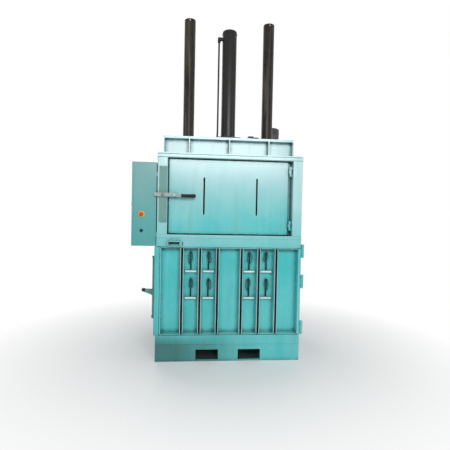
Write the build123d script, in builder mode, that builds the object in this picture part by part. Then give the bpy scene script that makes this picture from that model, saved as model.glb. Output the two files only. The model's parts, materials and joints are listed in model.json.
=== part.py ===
"""Vertical recycling baler: welded frame, two doors, press platen, hydraulic drive, control box.

Millimetres. Origin on the floor under the middle of the base, front towards -Y, +Z up.
"""
from build123d import *
import os

os.makedirs("parts", exist_ok=True)

# Body: overall sizes and the heights of its storeys, from the floor up
body_width = 1380.0
body_depth = 900.0
base_height = 248.0
lower_opening = 837.0
mid_beam_height = 115.0
upper_opening = 720.0
top_band_height = 35.0
roof_sheet = 12.0
head_height = 200.0

z_base = base_height
z_mid = z_base + lower_opening
z_sill = z_mid + mid_beam_height
z_band = z_sill + upper_opening
z_roof = z_band + top_band_height
z_head = z_roof + roof_sheet
z_crown = z_head + head_height

half_width = body_width / 2
y_front = -body_depth / 2
y_rear = body_depth / 2
door_frame_depth = 105.0
y_frame = y_front + door_frame_depth

# Clearances
seat = 0.3
running = 0.08
door_gap = 3.0
swing_gap = 7.0

# Base
plate = 8.0
fascia_fold = 14.0
crease_height = 165.0
crease_step = 6.0
pocket_width = 215.0
pocket_height = 97.0
pocket_pitch = 404.0
pocket_floor = 15.0
pocket_wall = 6.0
side_flange = 70.0
keel_width = 90.0
base_inside = body_depth / 2 - crease_step - plate

# Chamber: strap slots run in line through the door, the floor and the platen
slot_width = 14.0
slot_centres = (-450.0, -281.0, -114.0, 114.0, 281.0, 450.0)
floor_bar = 12.0
wall_sheet = 8.0
post_size = 95.0
post_wall = 6.0
post_radius = 10.0
rear_frame_depth = 80.0

wall_outer = half_width - post_size
wall_inner = wall_outer - wall_sheet
y_wall_back = y_rear - rear_frame_depth

# Outside ribs on the chamber
rib_height = 90.0
rib_depth = 70.0
rib_sheet = 6.0
rib_fold = 12.0
rib_levels = (340.0, 560.0, 780.0, 1000.0, 1320.0, 1640.0, 1860.0)

# Mid beam, its slot and the loop round the slot
beam_wall = 6.0
beam_radius = 5.0
beam_crease = 86.0
beam_step = 4.0
loop_inset = 163.0
loop_drop = 85.0
loop_width = 122.0
loop_height = 54.0
loop_bar = 8.0
loop_reach = 24.0
loop_radius = 12.0
eyelet_offset = 80.0
eyelet_width = 8.0
eyelet_height = 34.0

# Head
head_width = 1310.0
head_depth = 440.0
head_plate = 12.0
channel_flange = 75.0
channel_web = 8.5
channel_flange_sheet = 11.0
channel_radius = 10.0
head_rib_sheet = 10.0
head_rib_x = 400.0

# Guides and cylinder
guide_x = 415.0
guide_diameter = 114.3
guide_wall = 8.0
guide_top = 3405.0
guide_hole = 12.0
guide_hole_drop = 16.0
bush_wall = 10.0
bush_flange = 18.0
bush_flange_sheet = 14.0
bush_sleeve = 42.0
barrel_diameter = 150.0
bore_diameter = 125.0
barrel_top = 3312.0
barrel_below_crown = 100.0
barrel_cap = 30.0
rod_diameter = 80.0
spigot_diameter = 50.0
piston_length = 60.0
piston_to_cap = 56.0
gland_length = 40.0
flange_size = 250.0
flange_sheet = 28.0
bolt_circle = 210.0
bolt_count = 8
bolt_diameter = 20.0
bolt_head = 30.0
bolt_head_height = 12.5
nut_height = 16.0

# Platen, shown at the top of its stroke
platen_clearance = 7.0
platen_bottom = 1751.0
platen_sheet = 12.0
platen_frame_height = 140.0
platen_wall = 10.0
platen_rib_y = 150.0
boss_wall = 18.0

# Hydraulic pipes
pipe_diameter = 18.0
pipe_bore = 12.0
pipe_bend = 45.0
pipe_offset = 110.0
port_drop = 78.0
port_height = 65.0
port_boss = 36.0
port_reach = 14.0
fitting_flats = 30.0
fitting_length = 22.0

# Power unit on the roof
tank_width = 600.0
tank_depth = 214.0
tank_inset = 30.0
tank_y = 232.0
tank_sheet = 4.0
tank_lid_sheet = 8.0
motor_inset = 133.0
motor_diameter = 172.0
motor_fin_reach = 10.0
motor_fin_count = 24
motor_fin_sheet = 4.0
motor_foot = 18.0
motor_length = 170.0
cowl_diameter = 196.0
cowl_height = 57.0
valve_size = 90.0
valve_inset = 410.0
valve_pipe_spread = 20.0
coil_diameter = 36.0
coil_length = 62.0

# Lower door
door_sheet = 8.0
channel_fold = 14.0
left_stile = 55.0
door_overhang_left = 18.0
right_stile = 18.0
door_overhang_right = 0.0
door_back_gap = 4.0
end_plate_setback = 10.0
stile_wall = 6.0

door_left = -half_width - door_overhang_left
door_right = half_width + door_overhang_right
y_door_back = y_frame - door_back_gap
z_door_low = z_base + door_gap
z_door_high = z_mid - door_gap

# Lower door hinges
hinge_reach = 15.0
hinge_x = door_right + hinge_reach
hinge_y = y_front
knuckle_radius = 13.0
hinge_pin = 16.0
hinge_height = 120.0
hinge_levels = (262.0, 706.0, 998.0)
door_knuckle_low = 31.0
door_knuckle_high = 83.0
knuckle_gap = 1.0
hinge_arm = 10.0
hinge_leaf = 12.0
hinge_leaf_reach = 70.0
pin_head_radius = 11.5
pin_head_height = 5.0

# Lower door lock
lock_reach = 16.0
lock_setback = 45.0
lock_x = door_left - lock_reach
lock_y = y_frame + lock_setback
lock_shaft_diameter = 24.0
lock_low = 376.0
lock_high = 984.0
bracket_sheet = 12.0
finger_levels = (430.0, 930.0)
finger_width = 16.0
finger_height = 20.0
finger_reach = 31.0
finger_play = 5.0
keeper_inset = 4.0
keeper_left = door_left + keeper_inset
keeper_sheet = 8.0
keeper_height = 56.0
keeper_end = 28.0
keeper_window_height = 28.0
collar_radius = 17.0
collar_height = 8.0
lever_z = 633.0
lever_length = 92.0
lever_root_height = 58.0
lever_tip_height = 26.0
lever_sheet = 10.0
lever_hub_radius = 18.0

# Strap pins: a T-handled pin on a chain, hung from a staple in a door channel
pin_channels = (1, 2, 4, 5)
pin_columns = [(slot_centres[k - 1] + slot_centres[k]) / 2 for k in pin_channels]
pin_rows = (846.0, 589.0)
pin_bar_length = 105.0
pin_bar_diameter = 19.0
pin_stem_diameter = 13.0
staple_rise = 188.0
staple_bar = 5.0
staple_reach = 22.0
staple_half = 11.0
staple_bend = 5.0
link_sheet = 4.4
link_pitch = 18.0
link_count = 4
link_bore = 1.75 * link_sheet

# Upper door
upper_sheet = 5.0
upper_recess = 45.0
upper_flange = 40.0
upper_reveal = 35.0
upper_gap = 6.0
upper_fold = 8.0
upper_slot_x = 253.0
upper_slot_width = 16.0
upper_slot_low = 1391.0
upper_slot_high = 1746.0
stiffener_levels = (1320.0, 1850.0)
stiffener_height = 70.0
stiffener_depth = 26.0
upper_hinge_levels = (1255.0, 1775.0)
upper_hinge_height = 90.0
upper_hinge_drop = 32.0
upper_knuckle_radius = 11.0
upper_pin = 10.0
upper_leaf = 7.0
upper_leaf_reach = 44.0

# Upper latch
latch_inset = 158.0
latch_x = -half_width + latch_inset
latch_z = 1570.0
latch_sheet = 8.0
latch_stand_off = 62.0
latch_height = 36.0
latch_overhang = 26.0
latch_left = -half_width - latch_overhang
latch_step = latch_x + 62
tang_height = 20.0
tang_drop = 7.0
tang_z = latch_z - tang_drop
grip_length = 135.0
grip_left = latch_x + 66
grip_right = grip_left + grip_length
grip_radius = 17.0
latch_bolt = 16.0
latch_boss_radius = 20.0
stud_inset = 50.0
stud_x = -half_width + stud_inset
stud_diameter = 14.0
stud_gap = 3.0
cover_inset = 20.0
cover_width = 71.0
cover_left = -half_width + cover_inset
cover_right = cover_left + cover_width
cover_low = 1315.0
cover_high = 1834.0
cover_sheet = 6.0

# Control box
box_width = 225.0
box_depth = 600.0
box_low = 1090.0
box_height = 780.0
box_setback = 10.0
box_front = y_front + box_setback
box_stand_off = 8.0
box_sheet = 3.0
box_door_depth = 18.0
door_tray_sheet = 2.0
box_radius = 4.0
box_hinge_radius = 5.0
box_hinge_pin = 5.0
box_hinge_height = 36.0
lock_head = 24.0
gland_thread = 25.0
gland_flats = 30.0
gland_flange = 12.0
gland_dome = 16.0
gland_y = 90.0
gland_pitch = 50.0
stop_z = 1387.0
push_z = 1233.0
button_reach = 141.0
button_x = -half_width - button_reach
button_hole = 22.0
stop_collar = 58.0
stop_head = 40.0
push_collar = 30.0
push_head = 23.0


def folded(points, sheet, radius):
    """Draw the section of a folded sheet: its outer line, with the sheet on the line's left."""
    with BuildLine() as outline:
        FilletPolyline(*points, radius=radius)
        offset(amount=sheet, side=Side.LEFT)
    make_face(outline.edges())


def tube_section(x_low, x_high, y_low, y_high, wall, radius):
    """Draw the section of a rectangular tube with rounded corners."""
    width = x_high - x_low
    depth = y_high - y_low
    with Locations(((x_low + x_high) / 2, (y_low + y_high) / 2)):
        RectangleRounded(width, depth, radius)
        if radius > wall + 1:
            RectangleRounded(width - 2 * wall, depth - 2 * wall, radius - wall, mode=Mode.SUBTRACT)
        else:
            Rectangle(width - 2 * wall, depth - 2 * wall, mode=Mode.SUBTRACT)


def span(x_low, x_high, y_low, y_high, mode=Mode.ADD):
    """Draw a rectangle between two corners."""
    with Locations(((x_low + x_high) / 2, (y_low + y_high) / 2)):
        Rectangle(x_high - x_low, y_high - y_low, mode=mode)


# Base: front and rear fascia, two side channels and a keel
with BuildPart() as base_frame:
    with BuildSketch(Plane.YZ) as fascia:
        folded(
            [
                (y_front + crease_step, 0),
                (y_front + crease_step, crease_height - crease_step),
                (y_front, crease_height),
                (y_front, z_base),
                (y_frame, z_base),
            ][::-1],
            plate,
            2.5,
        )
    extrude(amount=half_width, both=True)
    mirror(about=Plane.XZ)
    with BuildSketch(Plane.XZ) as pocket_mouths:
        with Locations((-pocket_pitch / 2, pocket_floor), (pocket_pitch / 2, pocket_floor)):
            Rectangle(pocket_width, pocket_height, align=(Align.CENTER, Align.MIN))
    extrude(amount=body_depth, both=True, mode=Mode.SUBTRACT)
    with BuildSketch(Plane.XZ) as side_channels:
        folded(
            [
                (half_width - side_flange, 0),
                (half_width, 0),
                (half_width, z_base - plate),
                (half_width - side_flange, z_base - plate),
            ],
            plate,
            fascia_fold,
        )
        mirror(about=Plane.YZ)
        folded(
            [
                (-keel_width / 2, 0),
                (keel_width / 2, 0),
                (keel_width / 2, z_base - plate),
                (-keel_width / 2, z_base - plate),
            ],
            plate,
            fascia_fold,
        )
    extrude(amount=base_inside, both=True)
base_frame.part.label = "base_frame"
export_step(base_frame.part, "parts/base_frame.step")

with BuildPart() as fork_pockets:
    with BuildSketch(Plane.XZ) as pocket_section:
        with Locations(
            (-pocket_pitch / 2, pocket_floor - pocket_wall),
            (pocket_pitch / 2, pocket_floor - pocket_wall),
        ):
            Rectangle(
                pocket_width + 2 * pocket_wall,
                pocket_height + 2 * pocket_wall,
                align=(Align.CENTER, Align.MIN),
            )
        with Locations((-pocket_pitch / 2, pocket_floor), (pocket_pitch / 2, pocket_floor)):
            Rectangle(
                pocket_width, pocket_height, align=(Align.CENTER, Align.MIN), mode=Mode.SUBTRACT
            )
    extrude(amount=base_inside, both=True)
fork_pockets.part.label = "fork_pockets"
export_step(fork_pockets.part, "parts/fork_pockets.step")

# Chamber floor: a plate over the base with bars on it, grooved in line with the strap slots
with BuildPart() as chamber_floor:
    with BuildSketch(Plane.XY.offset(z_base - plate)):
        span(-half_width, half_width, y_frame, -y_frame)
    extrude(amount=plate)
    with BuildSketch(Plane.XY.offset(z_base)):
        span(-wall_inner, wall_inner, y_frame, y_wall_back)
        with Locations(*[(x, 0) for x in slot_centres]):
            Rectangle(slot_width, 2 * body_depth, mode=Mode.SUBTRACT)
    extrude(amount=floor_bar)
chamber_floor.part.label = "chamber_floor"
export_step(chamber_floor.part, "parts/chamber_floor.step")

# Frame posts and walls of the chamber
with BuildPart() as corner_posts:
    with BuildSketch(Plane.XY.offset(z_base)):
        tube_section(wall_outer, half_width, y_frame, y_frame + post_size, post_wall, post_radius)
        tube_section(wall_outer, half_width, y_rear - post_size, y_rear, post_wall, post_radius)
        mirror(about=Plane.YZ)
    extrude(amount=z_roof - z_base)
corner_posts.part.label = "corner_posts"
export_step(corner_posts.part, "parts/corner_posts.step")

with BuildPart() as side_walls:
    with BuildSketch(Plane.XY.offset(z_base)):
        span(wall_inner, wall_outer, y_frame, y_wall_back + wall_sheet)
        mirror(about=Plane.YZ)
    extrude(amount=z_roof - z_base)
side_walls.part.label = "side_walls"
export_step(side_walls.part, "parts/side_walls.step")

with BuildPart() as side_ribs:
    with BuildSketch(Plane.XZ.offset(-(y_frame + post_size))):
        for level in rib_levels:
            folded(
                [
                    (wall_outer, level - rib_height / 2),
                    (wall_outer + rib_depth, level - rib_height / 2),
                    (wall_outer + rib_depth, level + rib_height / 2),
                    (wall_outer, level + rib_height / 2),
                ],
                rib_sheet,
                rib_fold,
            )
        mirror(about=Plane.YZ)
    extrude(amount=-(y_rear - post_size - y_frame - post_size))
side_ribs.part.label = "side_ribs"
export_step(side_ribs.part, "parts/side_ribs.step")

with BuildPart() as rear_wall:
    with BuildSketch(Plane.XY.offset(z_base)):
        span(-wall_inner, wall_inner, y_wall_back, y_wall_back + wall_sheet)
    extrude(amount=z_roof - z_base)
rear_wall.part.label = "rear_wall"
export_step(rear_wall.part, "parts/rear_wall.step")

with BuildPart() as rear_ribs:
    with BuildSketch(Plane.YZ):
        for level in rib_levels:
            folded(
                [
                    (y_wall_back + wall_sheet, level - rib_height / 2),
                    (y_wall_back + wall_sheet + rib_depth, level - rib_height / 2),
                    (y_wall_back + wall_sheet + rib_depth, level + rib_height / 2),
                    (y_wall_back + wall_sheet, level + rib_height / 2),
                ],
                rib_sheet,
                rib_fold,
            )
    extrude(amount=wall_outer, both=True)
rear_ribs.part.label = "rear_ribs"
export_step(rear_ribs.part, "parts/rear_ribs.step")

# Mid beam between the doors, with a slot inside the loop and a small eyelet beside it
loop_x = -half_width + loop_inset
loop_z = z_sill - loop_drop
with BuildPart() as mid_beam:
    with BuildSketch(Plane.YZ) as beam_outer:
        with BuildLine():
            Polyline(
                (y_front + beam_step, z_mid),
                (y_front + beam_step, z_mid + beam_crease - beam_step),
                (y_front, z_mid + beam_crease),
                (y_front, z_sill),
                (y_frame, z_sill),
                (y_frame, z_mid),
                close=True,
            )
        make_face()
        fillet(beam_outer.vertices().group_by(Axis.Y)[0], beam_radius)
        fillet(beam_outer.vertices().group_by(Axis.Y)[-1].sort_by(Axis.X)[:1], beam_radius)
    extrude(amount=half_width, both=True)
    with BuildSketch(Plane.YZ):
        span(
            y_front + beam_step + beam_wall,
            y_frame - beam_wall,
            z_mid + beam_wall,
            z_sill - beam_wall,
        )
    extrude(amount=half_width - beam_wall, both=True, mode=Mode.SUBTRACT)
    with BuildSketch(Plane.XZ.offset(-y_front)):
        with Locations((loop_x, loop_z + 6)):
            SlotOverall(loop_width - 2 * loop_bar - 6, 20)
        with Locations((loop_x + eyelet_offset, loop_z)):
            Rectangle(eyelet_width, eyelet_height)
    extrude(amount=-(beam_step + beam_wall + 2), mode=Mode.SUBTRACT)
mid_beam.part.label = "mid_beam"
export_step(mid_beam.part, "parts/mid_beam.step")

with BuildPart() as band_loop:
    with BuildSketch(Plane.XZ.offset(-y_front - beam_step)):
        with Locations((loop_x, loop_z)):
            RectangleRounded(loop_width, loop_height, loop_radius)
            RectangleRounded(
                loop_width - 2 * loop_bar,
                loop_height - 2 * loop_bar,
                loop_radius - loop_bar,
                mode=Mode.SUBTRACT,
            )
    extrude(amount=loop_reach)
band_loop.part.label = "band_loop"
export_step(band_loop.part, "parts/band_loop.step")

# Upper door frame
with BuildPart() as upper_posts:
    with BuildSketch(Plane.XY.offset(z_sill)):
        tube_section(wall_outer, half_width, y_front, y_frame, beam_wall, post_radius)
        mirror(about=Plane.YZ)
    extrude(amount=upper_opening)
upper_posts.part.label = "upper_posts"
export_step(upper_posts.part, "parts/upper_posts.step")

with BuildPart() as top_band:
    with BuildSketch(Plane.YZ):
        tube_section(y_front, y_frame, z_band, z_roof, beam_wall, beam_wall + 2)
    extrude(amount=half_width, both=True)
top_band.part.label = "top_band"
export_step(top_band.part, "parts/top_band.step")

bush_outer = guide_diameter + 2 * (running + bush_wall)
with BuildPart() as roof_plate:
    with BuildSketch(Plane.XY.offset(z_roof)):
        Rectangle(body_width, body_depth)
        Circle(rod_diameter / 2 + boss_wall, mode=Mode.SUBTRACT)
        with Locations((-guide_x, 0), (guide_x, 0)):
            Circle(bush_outer / 2 + seat, mode=Mode.SUBTRACT)
    extrude(amount=roof_sheet)
roof_plate.part.label = "roof_plate"
export_step(roof_plate.part, "parts/roof_plate.step")

# Head: two channels open outwards, ribs in them, a plate on top
z_head_plate = z_crown - head_plate
y_head = head_depth / 2
with BuildPart() as head_beams:
    with BuildSketch(Plane.YZ) as channel_section:
        with BuildLine():
            Polyline(
                (-y_head, z_head),
                (-y_head + channel_flange, z_head),
                (-y_head + channel_flange, z_head_plate),
                (-y_head, z_head_plate),
                (-y_head, z_head_plate - channel_flange_sheet),
                (-y_head + channel_flange - channel_web, z_head_plate - channel_flange_sheet),
                (-y_head + channel_flange - channel_web, z_head + channel_flange_sheet),
                (-y_head, z_head + channel_flange_sheet),
                close=True,
            )
        make_face()
        roots = channel_section.vertices().filter_by(
            lambda v: abs(v.X + y_head - channel_flange + channel_web) < 0.1
        )
        fillet(roots, channel_radius)
    extrude(amount=head_width / 2, both=True)
    mirror(about=Plane.XZ)
head_beams.part.label = "head_beams"
export_step(head_beams.part, "parts/head_beams.step")

with BuildPart() as head_ribs:
    rib_low = z_head + channel_flange_sheet
    rib_high = z_head_plate - channel_flange_sheet
    y_rib_foot = y_head - channel_flange + channel_web
    end_x = head_width / 2 - head_rib_sheet / 2
    for x in (-end_x, -head_rib_x, 0, head_rib_x, end_x):
        with BuildSketch(Plane.YZ.offset(x)) as rib:
            span(-y_head, -y_rib_foot, rib_low, rib_high)
            chamfer(rib.vertices().group_by(Axis.X)[-1], channel_radius + 2)
        extrude(amount=head_rib_sheet / 2, both=True)
    mirror(about=Plane.XZ)
head_ribs.part.label = "head_ribs"
export_step(head_ribs.part, "parts/head_ribs.step")

with BuildPart() as head_top_plate:
    with BuildSketch(Plane.XY.offset(z_head_plate)):
        Rectangle(head_width, head_depth)
        Circle(barrel_diameter / 2 + seat, mode=Mode.SUBTRACT)
        with Locations((-guide_x, 0), (guide_x, 0)):
            Circle(bush_outer / 2 + seat, mode=Mode.SUBTRACT)
        with PolarLocations(bolt_circle / 2, bolt_count, start_angle=180 / bolt_count):
            Circle(bolt_diameter / 2 + 1, mode=Mode.SUBTRACT)
    extrude(amount=head_plate)
head_top_plate.part.label = "head_top_plate"
export_step(head_top_plate.part, "parts/head_top_plate.step")

# Hydraulic cylinder
barrel_low = z_crown - barrel_below_crown
z_port_high = barrel_top - port_drop
z_port_low = z_crown + port_height
with BuildPart() as cylinder_barrel:
    with BuildSketch(Plane.XZ):
        with BuildLine():
            Polyline(
                (bore_diameter / 2, barrel_low),
                (barrel_diameter / 2, barrel_low),
                (barrel_diameter / 2, barrel_top - 6),
                (barrel_diameter / 2 - 6, barrel_top),
                (0, barrel_top),
                (0, barrel_top - barrel_cap),
                (bore_diameter / 2, barrel_top - barrel_cap),
                close=True,
            )
        make_face()
    revolve(axis=Axis.Z)
    with BuildSketch(Plane.YZ.offset(-barrel_diameter / 2 - port_reach)):
        with Locations((0, z_port_high)):
            Circle(port_boss / 2)
    extrude(until=Until.NEXT)
    with BuildSketch(Plane.XZ.offset(-barrel_diameter / 2 - port_reach)):
        with Locations((0, z_port_low)):
            Circle(port_boss / 2)
    extrude(until=Until.NEXT)
    with BuildSketch(Plane.YZ.offset(-barrel_diameter / 2 - port_reach)):
        with Locations((0, z_port_high)):
            Circle(pipe_bore / 2)
    extrude(amount=barrel_diameter / 2, mode=Mode.SUBTRACT)
    with BuildSketch(Plane.XZ.offset(-barrel_diameter / 2 - port_reach)):
        with Locations((0, z_port_low)):
            Circle(pipe_bore / 2)
    extrude(amount=barrel_diameter / 2, mode=Mode.SUBTRACT)
cylinder_barrel.part.label = "cylinder_barrel"
export_step(cylinder_barrel.part, "parts/cylinder_barrel.step")

with BuildPart() as cylinder_flange:
    with BuildSketch(Plane.XY.offset(z_crown)):
        RectangleRounded(flange_size, flange_size, 25)
        Circle(barrel_diameter / 2 + seat, mode=Mode.SUBTRACT)
        with PolarLocations(bolt_circle / 2, bolt_count, start_angle=180 / bolt_count):
            Circle(bolt_diameter / 2 + 1, mode=Mode.SUBTRACT)
    extrude(amount=flange_sheet)
    chamfer(cylinder_flange.faces().sort_by(Axis.Z)[-1].outer_wire().edges(), 3)
cylinder_flange.part.label = "cylinder_flange"
export_step(cylinder_flange.part, "parts/cylinder_flange.step")

with BuildPart() as flange_bolts:
    with BuildSketch(Plane.XY.offset(z_crown + flange_sheet)):
        with PolarLocations(bolt_circle / 2, bolt_count, start_angle=180 / bolt_count):
            RegularPolygon(bolt_head / 2, 6, major_radius=False)
    extrude(amount=bolt_head_height)
    with BuildSketch(Plane.XY.offset(z_head_plate - nut_height)):
        with PolarLocations(bolt_circle / 2, bolt_count, start_angle=180 / bolt_count):
            Circle(bolt_diameter / 2)
    extrude(amount=nut_height + head_plate + flange_sheet)
    with BuildSketch(Plane.XY.offset(z_head_plate - nut_height)):
        with PolarLocations(bolt_circle / 2, bolt_count, start_angle=180 / bolt_count):
            RegularPolygon(bolt_head / 2, 6, major_radius=False)
    extrude(amount=nut_height)
flange_bolts.part.label = "flange_bolts"
export_step(flange_bolts.part, "parts/flange_bolts.step")

# Piston rod and piston, standing on the platen's face plate
z_platen_top = platen_bottom + platen_sheet + floor_bar
piston_top = barrel_top - barrel_cap - piston_to_cap
with BuildPart() as piston_rod:
    with BuildSketch(Plane.XY.offset(z_platen_top)):
        Circle(rod_diameter / 2)
    extrude(amount=piston_top - piston_length - z_platen_top)
    with BuildSketch(Plane.XY.offset(piston_top - piston_length)):
        Circle(spigot_diameter / 2)
    extrude(amount=piston_length)
piston_rod.part.label = "piston_rod"
export_step(piston_rod.part, "parts/piston_rod.step")

with BuildPart() as piston:
    with BuildSketch(Plane.XZ):
        piston_radius = bore_diameter / 2 - running
        groove = 4.0
        with BuildLine():
            Polyline(
                (spigot_diameter / 2 + seat / 2, piston_top - piston_length),
                (piston_radius, piston_top - piston_length),
                (piston_radius, piston_top - 2 * piston_length / 3),
                (piston_radius - groove, piston_top - 2 * piston_length / 3),
                (piston_radius - groove, piston_top - piston_length / 3),
                (piston_radius, piston_top - piston_length / 3),
                (piston_radius, piston_top),
                (spigot_diameter / 2 + seat / 2, piston_top),
                close=True,
            )
        make_face()
    revolve(axis=Axis.Z)
piston.part.label = "piston"
export_step(piston.part, "parts/piston.step")

# Guide tubes, welded to the platen, with a lifting hole across each top
with BuildPart() as guide_tubes:
    with BuildSketch(Plane.XY.offset(z_platen_top)):
        with Locations((-guide_x, 0), (guide_x, 0)):
            Circle(guide_diameter / 2)
            Circle(guide_diameter / 2 - guide_wall, mode=Mode.SUBTRACT)
    extrude(amount=guide_top - z_platen_top)
    with BuildSketch(Plane.XZ):
        with Locations((-guide_x, guide_top - guide_hole_drop), (guide_x, guide_top - guide_hole_drop)):
            Circle(guide_hole / 2)
    extrude(amount=guide_diameter, both=True, mode=Mode.SUBTRACT)
guide_tubes.part.label = "guide_tubes"
export_step(guide_tubes.part, "parts/guide_tubes.step")

# Bushes: two on each guide, and the rod gland in the barrel's foot
with BuildPart() as bushes:
    for face, drop in ((z_crown, bush_sleeve), (z_head, roof_sheet)):
        with BuildSketch(Plane.XY.offset(face - drop)):
            with Locations((-guide_x, 0), (guide_x, 0)):
                Circle(bush_outer / 2)
        extrude(amount=drop)
        with BuildSketch(Plane.XY.offset(face)):
            with Locations((-guide_x, 0), (guide_x, 0)):
                Circle(bush_outer / 2 + bush_flange)
        extrude(amount=bush_flange_sheet)
    with BuildSketch(Plane.XY.offset(z_head - roof_sheet)):
        with Locations((-guide_x, 0), (guide_x, 0)):
            Circle(guide_diameter / 2 + running)
    extrude(amount=2 * head_height, mode=Mode.SUBTRACT)
    with BuildSketch(Plane.XY.offset(barrel_low)):
        Circle(bore_diameter / 2 - seat)
        Circle(rod_diameter / 2 + running, mode=Mode.SUBTRACT)
    extrude(amount=gland_length)
bushes.part.label = "bushes"
export_step(bushes.part, "parts/bushes.step")

# Platen: grooved face plate and the box frame on it
platen_half = wall_inner - platen_clearance
platen_front = y_frame + platen_clearance
platen_back = y_wall_back - platen_clearance - 1
with BuildPart() as platen_plate:
    with BuildSketch(Plane.XY.offset(platen_bottom)):
        span(-platen_half, platen_half, platen_front, platen_back)
        with Locations(*[(x, 0) for x in slot_centres]):
            Rectangle(slot_width, 2 * body_depth, mode=Mode.SUBTRACT)
    extrude(amount=floor_bar)
    with BuildSketch(Plane.XY.offset(platen_bottom + floor_bar)):
        span(-platen_half, platen_half, platen_front, platen_back)
    extrude(amount=platen_sheet)
platen_plate.part.label = "platen_plate"
export_step(platen_plate.part, "parts/platen_plate.step")

with BuildPart() as platen_frame:
    with BuildSketch(Plane.XY.offset(z_platen_top)):
        inset = 8.0
        span(-platen_half + inset, platen_half - inset, platen_front + inset, platen_back - inset)
        inset = inset + platen_wall
        span(
            -platen_half + inset,
            platen_half - inset,
            platen_front + inset,
            platen_back - inset,
            mode=Mode.SUBTRACT,
        )
        for y in (-platen_rib_y, platen_rib_y):
            span(-platen_half + inset, platen_half - inset, y - platen_wall / 2, y + platen_wall / 2)
        for x in (-guide_x, 0, guide_x):
            span(x - platen_wall / 2, x + platen_wall / 2, platen_front + inset, platen_back - inset)
        with Locations((-guide_x, 0), (guide_x, 0)):
            Circle(guide_diameter / 2 + seat + boss_wall)
            Circle(guide_diameter / 2 + seat, mode=Mode.SUBTRACT)
        Circle(rod_diameter / 2 + seat + boss_wall)
        Circle(rod_diameter / 2 + seat, mode=Mode.SUBTRACT)
    extrude(amount=platen_frame_height)
platen_frame.part.label = "platen_frame"
export_step(platen_frame.part, "parts/platen_frame.step")

# Power unit on the roof: tank, lid, motor with fan cowl, valve block
tank_right = half_width - tank_inset
tank_left = tank_right - tank_width
motor_x = tank_right - motor_inset
valve_left = tank_right - valve_inset
tank_back = tank_y + tank_depth
z_lid = z_head_plate
z_unit = z_lid + tank_lid_sheet
with BuildPart() as oil_tank:
    with BuildSketch(Plane.XY.offset(z_head)):
        span(tank_left, tank_right, tank_y, tank_back)
    extrude(amount=z_lid - z_head)
    fillet(oil_tank.edges().filter_by(Axis.Z), 12)
    offset(
        amount=-tank_sheet,
        openings=oil_tank.faces().sort_by(Axis.Z)[-1],
        kind=Kind.INTERSECTION,
    )
oil_tank.part.label = "oil_tank"
export_step(oil_tank.part, "parts/oil_tank.step")

with BuildPart() as tank_lid:
    with BuildSketch(Plane.XY.offset(z_lid)):
        with Locations(((tank_left + tank_right) / 2, (tank_y + tank_back) / 2)):
            RectangleRounded(tank_width, tank_depth, 12)
    extrude(amount=tank_lid_sheet)
    with BuildSketch(Plane.XY.offset(z_unit)):
        with Locations((tank_left + 70, (tank_y + tank_back) / 2)):
            Circle(28)
    extrude(amount=44)
    chamfer(tank_lid.faces().sort_by(Axis.Z)[-1].edges(), 5)
tank_lid.part.label = "tank_lid"
export_step(tank_lid.part, "parts/tank_lid.step")

motor_y = (tank_y + tank_back) / 2
with BuildPart() as pump_motor:
    with BuildSketch(Plane.XY.offset(z_unit)):
        with Locations((motor_x, motor_y)):
            Circle(cowl_diameter / 2)
    extrude(amount=motor_foot)
    with BuildSketch(Plane.XY.offset(z_unit + motor_foot)) as motor_section:
        with Locations((motor_x, motor_y)):
            Circle(motor_diameter / 2)
            with PolarLocations(motor_diameter / 2, motor_fin_count):
                Rectangle(2 * motor_fin_reach, motor_fin_sheet)
    extrude(amount=motor_length - motor_foot)
    with BuildSketch(Plane.XY.offset(z_unit + motor_length + seat)):
        with Locations((motor_x, motor_y)):
            Circle(cowl_diameter / 2)
    extrude(amount=cowl_height)
    fillet(pump_motor.faces().sort_by(Axis.Z)[-1].edges(), 12)
pump_motor.part.label = "pump_motor"
export_step(pump_motor.part, "parts/pump_motor.step")

with BuildPart() as valve_block:
    with BuildSketch(Plane.XY.offset(z_unit)):
        span(valve_left, valve_left + valve_size, motor_y - valve_size / 2, motor_y + valve_size / 2)
    extrude(amount=valve_size)
    chamfer(valve_block.edges().filter_by(Axis.Z), 4)
    with BuildSketch(Plane.XY.offset(z_unit + valve_size)):
        span(valve_left + 15, valve_left + valve_size - 15, motor_y - 36, motor_y + 36)
    extrude(amount=46)
    with BuildSketch(Plane.YZ.offset(valve_left + valve_size - 15)):
        with Locations((motor_y, z_unit + valve_size + 24)):
            Circle(coil_diameter / 2)
    extrude(amount=coil_length)
valve_block.part.label = "valve_block"
export_step(valve_block.part, "parts/valve_block.step")

# Hydraulic pipes: one down the cylinder's left side and back to the valve, one from the lower port
with BuildPart() as hydraulic_pipes:
    pipe_z = z_port_low
    top_start = z_port_high - fitting_flats / 2 - fitting_length
    entry = valve_left - fitting_length
    with BuildLine() as top_route:
        FilletPolyline(
            (-pipe_offset, 0, top_start),
            (-pipe_offset, 0, pipe_z),
            (-pipe_offset, motor_y + valve_pipe_spread, pipe_z),
            (entry, motor_y + valve_pipe_spread, pipe_z),
            radius=pipe_bend,
        )
    with BuildSketch(Plane((-pipe_offset, 0, top_start), z_dir=(0, 0, -1))):
        Circle(pipe_diameter / 2)
        Circle(pipe_bore / 2, mode=Mode.SUBTRACT)
    sweep(path=top_route.line)
    port_end = barrel_diameter / 2 + port_reach + fitting_length
    with BuildLine() as low_route:
        FilletPolyline(
            (0, port_end, pipe_z),
            (0, motor_y - valve_pipe_spread, pipe_z),
            (entry, motor_y - valve_pipe_spread, pipe_z),
            radius=pipe_bend,
        )
    with BuildSketch(Plane((0, port_end, pipe_z), z_dir=(0, 1, 0))):
        Circle(pipe_diameter / 2)
        Circle(pipe_bore / 2, mode=Mode.SUBTRACT)
    sweep(path=low_route.line)
hydraulic_pipes.part.label = "hydraulic_pipes"
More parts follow.
